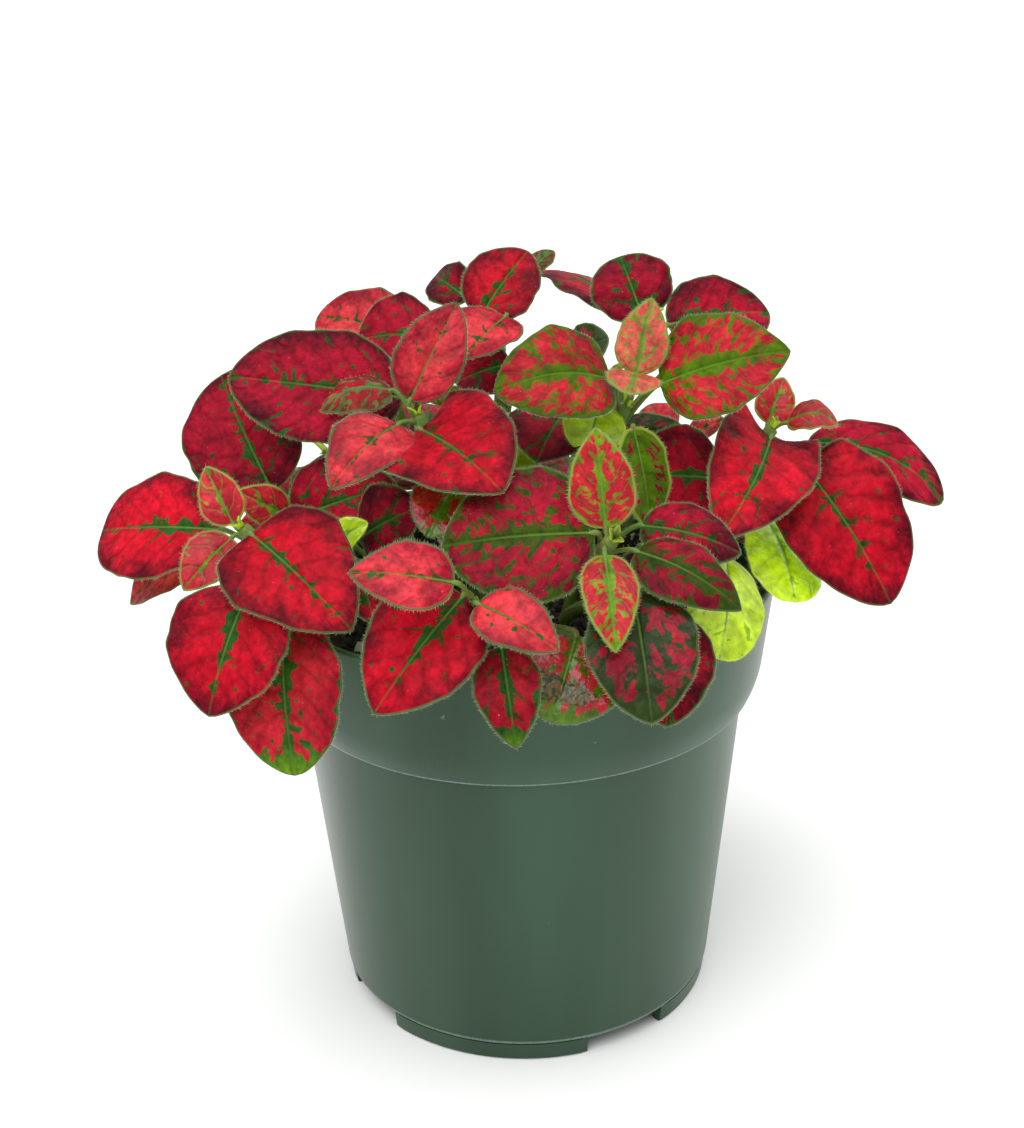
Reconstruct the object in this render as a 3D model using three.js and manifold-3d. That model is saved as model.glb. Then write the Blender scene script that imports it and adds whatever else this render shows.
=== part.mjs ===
// Polka dot plant (Hypoestes phyllostachya) in a round nursery pot.
// Millimetres, +Z up, origin on the pot's axis at the surface the pot stands on, front toward -Y.
// The pot stands on four arc-shaped feet and is filled with potting soil.  Every leafy shoot is one
// solid: its stem, leaf stalks and leaf blades joined, standing in a plain hole in the soil.

import * as THREE from "three";
import { mergeVertices } from "three/addons/utils/BufferGeometryUtils.js";
import Module from "manifold-3d";

const wasm = await Module();
wasm.setup();

// Pot: a 4 inch (108 mm) moulded nursery pot with a deep band under its rim.
const RIM_RADIUS = 54.0;
const POT_HEIGHT = 97.1;
const BAND_BOTTOM_RADIUS = 49.84;
const BAND_BOTTOM = 71.0;
const BODY_TOP_RADIUS = 47.9;
const BODY_BOTTOM_RADIUS = 41.5;
const BODY_BOTTOM = 4.2;
const WALL = 1.3;
const FOOT_RADIUS = 40.9;
const FOOT_WIDTH = 2.6;
const FOOT_SPAN = 63;
const FOOT_AZIMUTHS = [-14, 76, 166, 256];
const POT_SIDES = 48;

// Soil: filled to a little under the rim, clear of the wall, with a hole for each stem.
const SOIL_TOP = 88.0;
const SOIL_GAP = 0.35;
const HOLE_RADIUS = 2.15;
const HOLE_BOTTOM = 78.5;
const HOLE_SIDES = 8;

// Shoots.
const STEM_FOOT_RADIUS = 1.6;
const STEM_TOP_RADIUS = 1.1;
const STEM_SIDES = 5;
const STALK_RADIUS = 0.85;
const STALK_SIDES = 3;
const STALK_STEP = 0.016;
const BLADE_THICKNESS = 0.7;
const BASE_ROUNDNESS = 0.5;
const WIDE_ROWS = [0.1, 0.32, 0.56, 0.8];
const NARROW_ROWS = [0.13, 0.42, 0.76];
const WIDE_COLUMNS = [-1, -0.5, 0, 0.5, 1];
const NARROW_COLUMNS = [-1, 0, 1];
const NARROW_WIDTH = 18;
const SLIVER = 0.03;

const POT_GREEN = new THREE.MeshStandardMaterial({ color: 0x4b6657, roughness: 0.45, metalness: 0 });
const SOIL_BROWN = new THREE.MeshStandardMaterial({ color: 0x2b211a, roughness: 0.95, metalness: 0 });
const LEAF_RED = new THREE.MeshStandardMaterial({ color: 0xb3202f, roughness: 0.55, metalness: 0 });
const LEAF_DEEP = new THREE.MeshStandardMaterial({ color: 0x7d1a29, roughness: 0.6, metalness: 0 });
const LEAF_GREEN = new THREE.MeshStandardMaterial({ color: 0x6b6a2c, roughness: 0.55, metalness: 0 });
const GREEN_SHOOTS = ["shoot_crown", "shoot_centre", "shoot_centre_right", "shoot_back_right"];
const DEEP_SHOOTS = ["shoot_left_back", "shoot_upper_right", "shoot_back_upper_left"];

// Each shoot: the points of its stem from the foot up, and its leaves.  A leaf is
// [share of the stem's length where its stalk leaves, blade base, blade tip, blade width,
//  [azimuth, elevation] in degrees that the blade faces,
//  [arch along the midrib, fold across it, pointedness of the tip, heart lobes, sideways sweep]].
const SHOOTS = [
  { name: "shoot_left",
    stem: [[-14, -6, 79], [-14, -6, 89], [-33, -15, 97], [-47, -23, 107], [-53.5, -25, 116]],
    leaves: [
      [1, [-55.3, -25, 117], [-60.8, -19, 127], 9, [-95, 20], [0.05, 0.1, 0.85, 0, 0]],
      [1, [-55.5, -27, 115], [-64.5, -34, 107], 11, [-90, 50], [0.08, 0.1, 0.8, 0, 0]],
      [0.93, [-58.5, -20, 114], [-86, -6, 109], 23.5, [-95, 45], [0.05, 0.06, 0.45, 0, 0]],
      [0.93, [-51.5, -29, 116.5], [-31, -49, 104.5], 25, [-95, 52], [0.08, 0.12, 0.8, 0.06, 0]],
      [0.66, [-62.5, -8, 105.5], [-81, -10, 94], 13, [-120, 50], [0.12, 0.2, 0.8, 0, 0]],
      [0.66, [-51, -38, 109], [-59, -49, 87.5], 25, [-108, 32], [0.08, 0.08, 0.74, 0, 0]],
      [0.4, [-45, -38, 104], [-43.5, -50, 75], 23.5, [-106, 28], [0.08, 0.06, 0.62, 0, 0]],
      [0.4, [-33, -24, 106.5], [-27.5, -42, 102.5], 14, [-60, 60], [0.1, 0.1, 0.75, 0, 0]],
    ] },
  { name: "shoot_left_back",
    stem: [[-16, 2, 79], [-16, 2, 89], [-34, -2, 98], [-46, -4, 107]],
    leaves: [
      [1, [-50, -6, 116.5], [-62, 14, 136], 27, [-110, 35], [0.06, 0.08, 0.55, 0, 0]],
      [1, [-46, -12, 112.5], [-24, -14, 120.5], 20, [-85, 40], [0.06, 0.12, 0.75, 0, 0]],
      [0.5, [-31, -22, 112.5], [-18.4, -28, 120.7], 16, [-90, 40], [0.08, 0.1, 0.7, 0, 0]],
      [0.85, [-46.5, -13, 114], [-56, -14.5, 120], 8.5, [-90, 30], [0.08, 0.15, 0.8, 0, 0]],
      [0.45, [-37.4, -24, 111.2], [-29, -26.5, 117.2], 7, [-90, 45], [0.08, 0.1, 0.7, 0, 0]],
      [0.6, [-44, 8, 107], [-61, 22, 109], 21, [140, 60], [0.08, 0.1, 0.62, 0.04, 0]],
    ] },
  { name: "shoot_upper_left",
    stem: [[-8, -4, 79], [-8, -4, 89], [-12, -8, 108], [-17, -12, 125], [-19, -15, 135]],
    leaves: [
      [1, [-20.5, -16, 138.4], [-10.8, -8, 155.6], 13.5, [-90, 25], [0.05, 0.08, 0.75, 0, 0]],
      [1, [-22.6, -19.5, 134.8], [-34.4, -38, 128.3], 15, [-98, 42], [0.12, 0.1, 0.8, 0, 0]],
      [0.96, [-24.5, -9, 138.5], [-38.5, -11, 135], 12, [-120, 65], [0.22, -0.3, 0.8, 0, 0]],
      [0.9, [-18.5, -20.5, 134], [-2.5, -44, 129], 26, [-85, 50], [0.08, 0.1, 0.78, 0.3, 0]],
      [0.8, [-22.5, -2.5, 135], [-58, 0, 139.5], 25.5, [-100, 42], [0.02, 0.04, 0.6, 0, 0]],
      [0.7, [-11.5, -28, 125.5], [-17, -37, 118], 13, [-95, 40], [0.08, 0.1, 0.7, 0, 0]],
      [0.66, [-27, 3, 122], [-39, 15, 117], 18, [130, 50], [0.08, 0.1, 0.62, 0.04, 0]],
    ] },
  { name: "shoot_top",
    stem: [[-2, 4, 79], [-2, 4, 89], [-3, 8, 112], [-3, 13, 136], [-3, 16, 146]],
    leaves: [
      [1, [-7, 12, 147.5], [3.5, 20, 159.5], 16.5, [-105, 30], [0.06, 0.1, 0.62, 0, 0]],
      [1, [-1.5, 9, 148.5], [-10, -1, 142.3], 15, [-95, 60], [0.06, 0.25, 0.8, 0, 0]],
      [1, [3.5, 20, 155], [9, 27, 158], 5, [-90, 50], [0.05, 0.1, 0.7, 0, 0]],
      [0.92, [-9.3, 22, 149], [-17, 36, 151], 10.5, [-120, 40], [0.1, 0.15, 0.6, 0, 0]],
      [0.85, [-16, 13.5, 143], [-33.2, 17, 141.8], 19.5, [-70, 50], [0.1, 0.2, 0.5, 0, 0]],
      [0.8, [-22, 23, 141], [-43.5, 36, 142.5], 17.5, [-110, 45], [0.06, 0.08, 0.6, 0, 0]],
      [0.72, [-0.5, 11, 138], [-12.5, 9, 134.5], 12, [-90, 40], [0.08, 0.1, 0.7, 0, 0]],
      [0.66, [-10, 24, 129], [-16, 40, 120], 19, [105, 45], [0.08, 0.1, 0.62, 0.04, 0]],
      [0.52, [0, 22, 121], [-3, 31, 102], 17, [95, 30], [0.08, 0.1, 0.62, 0.04, 0]],
    ] },
  { name: "shoot_crown",
    stem: [[6, 2, 79], [6, 2, 89], [12, -2, 108], [19, -6.5, 125], [22, -9, 134]],
    leaves: [
      [1, [23.7, -12, 141.5], [27.2, -7, 155.5], 10.5, [-90, 20], [0.04, 0.12, 0.85, 0, 0]],
      [1, [24, -13, 142], [21.8, -19, 139.5], 11, [-90, 60], [0.1, 0.1, 0.6, 0, 0]],
      [0.93, [28.5, -12, 139.4], [53.5, -15, 146.3], 22, [-90, 40], [0.1, 0.08, 0.8, 0, 0]],
      [0.93, [19, -11, 140.3], [-4, -17, 140], 21.5, [-90, 48], [0.18, 0.04, 0.7, 0.06, 0]],
      [0.7, [17, -8, 134.8], [13.6, -14, 126], 13, [-90, 10], [0.1, 0.1, 0.55, 0, 0]],
      [0.7, [10, 0, 130], [4, -16, 125], 19, [-90, 60], [0.1, 0.1, 0.7, 0, 0]],
      [0.6, [19, 4, 122.5], [36.5, 4, 123.5], 9, [-90, 40], [0.2, -0.1, 0.7, 0, 0]],
    ] },
  { name: "shoot_centre",
    stem: [[4, -8, 79], [4, -8, 89], [8, -24, 102], [14, -40, 114], [17, -46, 120]],
    leaves: [
      [1, [16, -45, 122], [14.5, -39, 139.5], 12.4, [-90, 22], [0.04, 0.12, 0.85, 0, 0]],
      [1, [15.6, -49, 118.5], [16.7, -63, 105.5], 10.5, [-85, 45], [0.06, 0.14, 0.85, 0, 0]],
      [0.93, [14, -45.5, 121.5], [-14, -45.5, 119.5], 26.5, [-90, 43], [0.06, 0.06, 0.66, 0.04, 0]],
      [0.93, [21.5, -45, 117.5], [40, -54, 109], 14, [-80, 55], [0.12, -0.2, 0.85, 0, 0]],
      [0.8, [23, -37, 119.4], [41.5, -40.5, 114.6], 14.5, [-80, 55], [0.1, -0.12, 0.75, 0, 0]],
    ] },
  { name: "shoot_front",
    stem: [[-2, -12, 79], [-2, -12, 89], [-6, -32, 98], [-8, -45, 106], [-8, -50, 109]],
    leaves: [
      [1, [-11.3, -59, 118], [-30, -58.2, 120], 13, [-90, 45], [0.08, 0.08, 0.85, 0, 0]],
      [1, [-7.5, -57, 113], [6.5, -66.5, 107.7], 11.5, [-90, 50], [0.1, 0.08, 0.78, 0, 0]],
      [0.9, [-10, -51, 112.2], [-26.5, -64, 95], 21.5, [-95, 40], [0.08, 0.08, 0.78, 0, 0]],
      [0.6, [-3.5, -56, 104], [-1.2, -67, 89], 12.2, [-90, 35], [0.08, 0.08, 0.82, 0, 0]],
      [0.6, [10.2, -51.5, 104], [5, -63, 92], 21, [-80, 40], [0.08, 0.06, 0.55, 0, 0]],
    ] },
  { name: "shoot_front_right",
    stem: [[8, -10, 79], [8, -10, 89], [18, -30, 102], [24, -42, 110]],
    leaves: [
      [1, [20.7, -50, 111.3], [23, -66, 92.8], 20.5, [-88, 35], [0.08, 0.06, 0.7, 0, 0]],
      [1, [26.3, -43, 104.5], [26, -61, 89.5], 19, [-80, 30], [0.06, 0.06, 0.7, 0, 0]],
      [0.8, [23.5, -34, 114], [25, -38, 106.5], 10, [-90, 40], [0.06, 0.08, 0.75, 0, 0]],
      [0.7, [40.5, -27, 108.5], [37.3, -45, 95], 16, [-70, 30], [0.1, -0.1, 0.45, 0, 0]],
    ] },
  { name: "shoot_right",
    stem: [[14, 0, 79], [14, 0, 89], [34, -2, 104], [48, -3, 119], [52, -4, 127]],
    leaves: [
      [1, [51.5, -2, 127.5], [55.5, 4, 135.5], 8.5, [-90, 20], [0.04, 0.12, 0.8, 0, 0]],
      [1, [55, -5, 128.5], [65, -7, 128.5], 9, [-90, 65], [0.3, -0.1, 0.7, 0, 0]],
      [0.93, [51.2, -9, 127], [37.9, -34.3, 115], 21.4, [-85, 38], [0.08, 0.12, 0.85, 0.3, 0.03]],
      [0.93, [57.4, -9, 121.5], [74, -24, 96.3], 27, [-78, 35], [0.08, 0.08, 0.68, 0.16, 0]],
      [0.8, [60, 0, 122.5], [88, -5, 111], 17, [-75, 55], [0.1, -0.05, 0.55, 0, 0.08]],
      [0.75, [42, -9, 118.2], [23.7, -12.5, 120.5], 22, [-90, 40], [0.06, 0.06, 0.6, 0, 0]],
      [0.6, [51, -10, 109.5], [54.5, -26, 98], 17, [-65, 20], [0.08, -0.08, 0.45, 0, 0]],
      [0.7, [54, 9, 119], [68, 21, 110], 19, [40, 50], [0.08, 0.1, 0.62, 0.04, 0]],
    ] },
  { name: "shoot_centre_right",
    stem: [[10, -2, 79], [10, -2, 89], [20, -12, 108], [24, -20, 122]],
    leaves: [
      [1, [22.5, -23, 134.3], [25.5, -28, 114.8], 13, [-50, 10], [0.04, 0.1, 0.7, 0, 0]],
    ] },
  { name: "shoot_upper_right",
    stem: [[8, 8, 79], [8, 8, 89], [18, 10, 116], [26, 13, 140], [29, 14, 146]],
    leaves: [
      [1, [27.3, 14, 145.5], [22.8, 22, 157.5], 17.5, [-90, 30], [0.06, 0.06, 0.48, 0, 0]],
      [1, [32, 12, 145], [54.5, 20, 145], 19, [-90, 45], [0.08, 0.06, 0.65, 0, 0]],
      [0.9, [22.5, 20, 146], [6, 34, 152.2], 19, [-20, 58], [0.12, -0.15, 0.7, 0, 0]],
      [0.8, [11, 8, 138.5], [19.5, 4, 144.5], 12, [-90, 50], [0.1, 0.1, 0.6, 0, 0]],
      [0.72, [34, 22, 133], [48, 33, 122], 18, [55, 45], [0.08, 0.1, 0.62, 0.04, 0]],
      [0.55, [23, 19, 121], [29, 33, 116], 13, [65, 50], [0.08, 0.1, 0.62, 0.04, 0]],
    ] },
  { name: "shoot_back_left",
    stem: [[-18, 12, 79], [-18, 12, 89], [-32, 28, 100], [-40, 38, 108]],
    leaves: [
      [1, [-43, 36, 111], [-52, 31, 118], 10, [210, 60], [0.08, 0.1, 0.68, 0, 0]],
      [1, [-37, 40, 111], [-29, 44, 118], 9.5, [30, 60], [0.08, 0.1, 0.68, 0, 0]],
      [0.92, [-41, 40, 106], [-51, 55, 98], 17, [125, 70], [0.08, 0.1, 0.68, 0, 0]],
      [0.72, [-40, 27, 101], [-62, 17, 99], 20, [205, 70], [0.08, 0.1, 0.68, 0, 0]],
      [0.72, [-29, 38, 104], [-18, 55, 106], 20, [50, 70], [0.08, 0.1, 0.68, 0, 0]],
      [0.45, [-44, 38, 100], [-53, 46, 82], 22, [140, 60], [0.08, 0.1, 0.68, 0, 0]],
    ] },
  { name: "shoot_back",
    stem: [[-2, 18, 79], [-2, 18, 89], [-5, 36, 97], [-7, 47, 104]],
    leaves: [
      [1, [-11, 47, 107], [-22, 50, 113], 10, [175, 60], [0.08, 0.1, 0.68, 0, 0]],
      [1, [-4, 48, 107], [6, 49, 113], 9.5, [-5, 60], [0.08, 0.1, 0.68, 0, 0]],
      [0.92, [-8, 51, 102.5], [-9, 67.5, 95.5], 17, [90, 70], [0.08, 0.1, 0.68, 0, 0]],
      [0.72, [-14, 42, 100], [-34, 52, 99.5], 20, [170, 70], [0.08, 0.1, 0.68, 0, 0]],
      [0.72, [1, 43, 100], [15, 56, 100], 20, [15, 70], [0.08, 0.1, 0.68, 0, 0]],
      [0.45, [-9, 57, 99], [-13, 66, 80], 22, [105, 60], [0.08, 0.1, 0.68, 0, 0]],
    ] },
  { name: "shoot_back_right",
    stem: [[16, 14, 79], [16, 14, 89], [30, 32, 100], [37, 42, 107]],
    leaves: [
      [1, [35, 44, 110], [32, 54, 115], 10, [130, 60], [0.08, 0.1, 0.68, 0, 0]],
      [1, [39, 40, 110], [48, 37, 116], 9.5, [-50, 60], [0.08, 0.1, 0.68, 0, 0]],
      [0.92, [39, 43, 105], [52, 56, 97], 17, [45, 70], [0.08, 0.1, 0.68, 0, 0]],
      [0.72, [28, 40, 101], [23, 61, 100], 20, [125, 70], [0.08, 0.1, 0.68, 0, 0]],
      [0.72, [38, 33, 103], [57, 36, 103], 20, [-30, 70], [0.08, 0.1, 0.68, 0, 0]],
      [0.45, [38, 44, 100], [45, 54, 81], 22, [60, 60], [0.08, 0.1, 0.68, 0, 0]],
    ] },
  { name: "shoot_back_upper_left",
    stem: [[-12, 10, 79], [-12, 10, 89], [-22, 22, 112], [-27, 28, 126]],
    leaves: [
      [1, [-29, 26, 129], [-37, 19, 136], 10, [220, 60], [0.08, 0.1, 0.68, 0, 0]],
      [1, [-25, 30, 129], [-17, 36, 136], 9.5, [40, 60], [0.08, 0.1, 0.68, 0, 0]],
      [0.92, [-29, 30, 123], [-42, 43, 114], 17, [135, 70], [0.08, 0.1, 0.68, 0, 0]],
      [0.72, [-29, 19, 113], [-48, 5, 111], 20, [215, 70], [0.08, 0.1, 0.68, 0, 0]],
      [0.72, [-20, 30, 113], [-21, 52, 117], 20, [60, 70], [0.08, 0.1, 0.68, 0, 0]],
    ] },
  { name: "shoot_back_upper_right",
    stem: [[6, 14, 79], [6, 14, 89], [14, 28, 112], [18, 35, 124]],
    leaves: [
      [1, [15, 36, 127], [6, 42, 134], 10, [150, 60], [0.08, 0.1, 0.68, 0, 0]],
      [1, [21, 34, 127], [29, 29, 134], 9.5, [-30, 60], [0.08, 0.1, 0.68, 0, 0]],
      [0.92, [17, 39, 120], [15, 56, 114], 17, [65, 70], [0.08, 0.1, 0.68, 0, 0]],
      [0.72, [9, 34, 112], [-5, 49, 112], 18, [145, 70], [0.08, 0.1, 0.68, 0, 0]],
      [0.72, [21, 27, 112], [45, 23, 110], 20, [-10, 70], [0.08, 0.1, 0.68, 0, 0]],
      [0.45, [21, 22, 101], [33, 13, 104], 17, [-20, 60], [0.08, 0.1, 0.62, 0.04, 0]],
    ] },
  { name: "shoot_right_back",
    stem: [[20, 6, 79], [20, 6, 89], [42, 14, 98], [54, 18, 104]],
    leaves: [
      [1, [53, 21, 107], [52, 31, 114], 10, [100, 60], [0.08, 0.1, 0.68, 0, 0]],
      [1, [55, 15, 107], [56, 5, 114], 9.5, [-80, 60], [0.08, 0.1, 0.68, 0, 0]],
      [0.92, [56, 18, 103], [74, 23, 94], 17, [15, 70], [0.08, 0.1, 0.68, 0, 0]],
      [0.72, [50, 9, 101], [62, -10, 99], 20, [-60, 70], [0.08, 0.1, 0.68, 0, 0]],
      [0.45, [54, 22, 99], [63, 27, 80], 22, [30, 60], [0.08, 0.1, 0.68, 0, 0]],
    ] },
];

function vec(point) {
  return new THREE.Vector3(point[0], point[1], point[2]);
}

function asGeometry(points, triangles) {
  const geometry = new THREE.BufferGeometry();
  const numbers = [];
  for (const point of points) {
    numbers.push(point.x, point.y, point.z);
  }
  geometry.setAttribute("position", new THREE.Float32BufferAttribute(numbers, 3));
  geometry.setIndex(triangles.flat());
  return geometry;
}

function solidFrom(geometry) {
  const plain = geometry.clone();
  plain.deleteAttribute("normal");
  plain.deleteAttribute("uv");
  const merged = mergeVertices(plain, 1e-4);
  const vertProperties = new Float32Array(merged.attributes.position.array);
  const whole = [];
  const index = merged.index.array;
  for (let i = 0; i < index.length; i += 3) {
    const [a, b, c] = [index[i], index[i + 1], index[i + 2]];
    if (a !== b && b !== c && c !== a) {
      whole.push(a, b, c);
    }
  }
  const triVerts = new Uint32Array(whole);
  return new wasm.Manifold(new wasm.Mesh({ numProp: 3, vertProperties, triVerts }));
}

// Joins closed solids into one body: slivers finer than SLIVER go, and a sealed hollow is filled.
function joined(solids) {
  const whole = solids.reduce((sum, solid) => sum.add(solid)).simplify(SLIVER);
  const bodies = whole.decompose();
  bodies.sort((a, b) => b.volume() - a.volume());
  return bodies[0];
}

function meshFrom(name, solid, material) {
  const result = solid.getMesh();
  const geometry = new THREE.BufferGeometry();
  geometry.setAttribute("position", new THREE.BufferAttribute(result.vertProperties, 3));
  geometry.setIndex(new THREE.BufferAttribute(result.triVerts, 1));
  geometry.computeVertexNormals();
  const mesh = new THREE.Mesh(geometry, material);
  mesh.name = name;
  return mesh;
}

// A turned solid from an outline of [radius, height] pairs that goes up the outside.
function turned(outline, sides) {
  const points = outline.map(([radius, height]) => new THREE.Vector2(radius, height));
  const geometry = new THREE.LatheGeometry(points, sides);
  geometry.rotateX(Math.PI / 2);
  return solidFrom(geometry);
}

// Point of a blade: u runs from its base to its tip, v from its right edge (-1) to its left (1).
function bladeFrame(leaf) {
  const [, basePoint, tipPoint, width, faces, form] = leaf;
  const base = vec(basePoint);
  const along = vec(tipPoint).sub(base);
  const length = along.length();
  along.normalize();
  const azimuth = THREE.MathUtils.degToRad(faces[0]);
  const elevation = THREE.MathUtils.degToRad(faces[1]);
  const up = new THREE.Vector3(
    Math.cos(azimuth) * Math.cos(elevation),
    Math.sin(azimuth) * Math.cos(elevation),
    Math.sin(elevation),
  );
  up.addScaledVector(along, -up.dot(along)).normalize();
  const across = new THREE.Vector3().crossVectors(up, along);
  return { base, along, across, up, length, width, form };
}

function bladePoint(frame, u, v) {
  const [arch, fold, point, heart, sweep] = frame.form;
  const widest = BASE_ROUNDNESS / (BASE_ROUNDNESS + point);
  const full = widest ** BASE_ROUNDNESS * (1 - widest) ** point;
  const half = ((frame.width / 2) * u ** BASE_ROUNDNESS * (1 - u) ** point) / full;
  const side = half * v;
  const bow = frame.length * 4 * u * (1 - u);
  const lobe = heart * v * v * (1 - u) ** 2 * Math.min(1, u * 8);
  const x = frame.length * (u - lobe);
  const y = side + sweep * bow;
  const z = arch * bow + fold * (Math.sqrt(side * side + 1) - 1);
  return frame.base
    .clone()
    .addScaledVector(frame.along, x)
    .addScaledVector(frame.across, y)
    .addScaledVector(frame.up, z);
}

function bladeNormal(frame, u, v) {
  const step = 0.01;
  const alongU = bladePoint(frame, u + step, v).sub(bladePoint(frame, u - step, v));
  const alongV = bladePoint(frame, u, v + step).sub(bladePoint(frame, u, v - step));
  return alongU.cross(alongV).normalize();
}

// One thin closed blade, split into triangles alike on both faces.
function bladeSolid(frame) {
  const narrow = frame.width < NARROW_WIDTH;
  const columns = narrow ? NARROW_COLUMNS : WIDE_COLUMNS;
  const rows = narrow ? NARROW_ROWS : WIDE_ROWS;
  const across = columns.length;
  const middle = [frame.base.clone()];
  const normals = [frame.up.clone()];
  for (const u of rows) {
    for (const v of columns) {
      middle.push(bladePoint(frame, u, v));
      normals.push(bladeNormal(frame, u, v));
    }
  }
  middle.push(bladePoint(frame, 1, 0));
  normals.push(frame.up.clone());
  const tip = middle.length - 1;
  const at = (row, column) => 1 + row * across + column;
  const faces = [];
  for (let j = 0; j + 1 < across; j += 1) {
    faces.push([0, at(0, j), at(0, j + 1)]);
    for (let i = 0; i + 1 < rows.length; i += 1) {
      faces.push([at(i, j), at(i + 1, j), at(i + 1, j + 1)]);
      faces.push([at(i, j), at(i + 1, j + 1), at(i, j + 1)]);
    }
    faces.push([at(rows.length - 1, j), tip, at(rows.length - 1, j + 1)]);
  }
  const rim = [0];
  for (let i = 0; i < rows.length; i += 1) {
    rim.push(at(i, 0));
  }
  rim.push(tip);
  for (let i = rows.length - 1; i >= 0; i -= 1) {
    rim.push(at(i, across - 1));
  }
  const half = BLADE_THICKNESS / 2;
  const top = middle.map((point, k) => point.clone().addScaledVector(normals[k], half));
  const under = middle.map((point, k) => point.clone().addScaledVector(normals[k], -half));
  const count = middle.length;
  const triangles = faces.map(([a, b, c]) => [a, b, c]);
  for (const [a, b, c] of faces) {
    triangles.push([a + count, c + count, b + count]);
  }
  rim.forEach((a, k) => {
    const b = rim[(k + 1) % rim.length];
    triangles.push([a + count, b + count, b]);
    triangles.push([a + count, b, a]);
  });
  return solidFrom(asGeometry([...top, ...under], triangles));
}

// A closed tube through the points, with a radius for each point.
function tubeSolid(points, radii, sides) {
  const tangents = points.map((point, i) => {
    const before = points[Math.max(0, i - 1)];
    const after = points[Math.min(points.length - 1, i + 1)];
    return after.clone().sub(before).normalize();
  });
  const helper = Math.abs(tangents[0].z) > 0.9 ? new THREE.Vector3(1, 0, 0) : new THREE.Vector3(0, 0, 1);
  let out = helper.clone().addScaledVector(tangents[0], -helper.dot(tangents[0])).normalize();
  const ringPoints = [];
  points.forEach((point, i) => {
    out = out.clone().addScaledVector(tangents[i], -out.dot(tangents[i])).normalize();
    const side = new THREE.Vector3().crossVectors(tangents[i], out);
    for (let k = 0; k < sides; k += 1) {
      const angle = (2 * Math.PI * k) / sides;
      ringPoints.push(
        point
          .clone()
          .addScaledVector(out, radii[i] * Math.cos(angle))
          .addScaledVector(side, radii[i] * Math.sin(angle)),
      );
    }
  });
  const triangles = [];
  const last = points.length - 1;
  for (let k = 0; k < sides; k += 1) {
    const next = (k + 1) % sides;
    for (let i = 0; i < last; i += 1) {
      triangles.push([i * sides + k, i * sides + next, (i + 1) * sides + next]);
      triangles.push([i * sides + k, (i + 1) * sides + next, (i + 1) * sides + k]);
    }
    if (k > 0 && next > 0) {
      triangles.push([0, next, k]);
      triangles.push([last * sides, last * sides + k, last * sides + next]);
    }
  }
  return solidFrom(asGeometry(ringPoints, triangles));
}

function stemPoint(stem, share) {
  const points = stem.map(vec);
  const steps = points.slice(1).map((point, i) => point.distanceTo(points[i]));
  const total = steps.reduce((sum, step) => sum + step, 0);
  let rest = share * total;
  for (let i = 0; i < steps.length; i += 1) {
    if (rest <= steps[i]) {
      return points[i].clone().lerp(points[i + 1], rest / steps[i]);
    }
    rest -= steps[i];
  }
  return points[points.length - 1];
}

// The leaf stalk leaves the stem, bends into line with the midrib and ends sunk in the blade.
function stalkSolid(stem, leaf, order, frame) {
  const start = stemPoint(stem, leaf[0] - STALK_STEP * (order + 1));
  const bend = frame.base.clone().addScaledVector(frame.along, -4);
  const curve = new THREE.QuadraticBezierCurve3(start, bend, frame.base);
  const points = [...curve.getPoints(2), bladePoint(frame, 0.06, 0.05)];
  const radii = [STALK_RADIUS * 0.7, STALK_RADIUS, STALK_RADIUS * 0.9, STALK_RADIUS * 0.6];
  return tubeSolid(points, radii, STALK_SIDES);
}

function shootSolid(shoot) {
  const stemPoints = shoot.stem.map(vec);
  const radii = stemPoints.map((point, i) => {
    const share = i / (stemPoints.length - 1);
    return STEM_FOOT_RADIUS + (STEM_TOP_RADIUS - STEM_FOOT_RADIUS) * share;
  });
  const pieces = [tubeSolid(stemPoints, radii, STEM_SIDES)];
  shoot.leaves.forEach((leaf, order) => {
    const frame = bladeFrame(leaf);
    pieces.push(stalkSolid(shoot.stem, leaf, order, frame));
    pieces.push(bladeSolid(frame));
  });
  return joined(pieces);
}

// The inside of the pot, from the floor's centre up to the lip.
const INSIDE = [
  [BODY_BOTTOM_RADIUS - WALL - 1.2, BODY_BOTTOM + 0.6],
  [BODY_BOTTOM_RADIUS - WALL, BODY_BOTTOM + 1.8],
  [BODY_TOP_RADIUS - WALL, BAND_BOTTOM - 1.2],
  [BAND_BOTTOM_RADIUS - WALL + 0.6, BAND_BOTTOM + 2.0],
  [BAND_BOTTOM_RADIUS - WALL + 1.7, BAND_BOTTOM + 6.0],
  [RIM_RADIUS - WALL - 0.2, POT_HEIGHT - 1.2],
];

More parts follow.
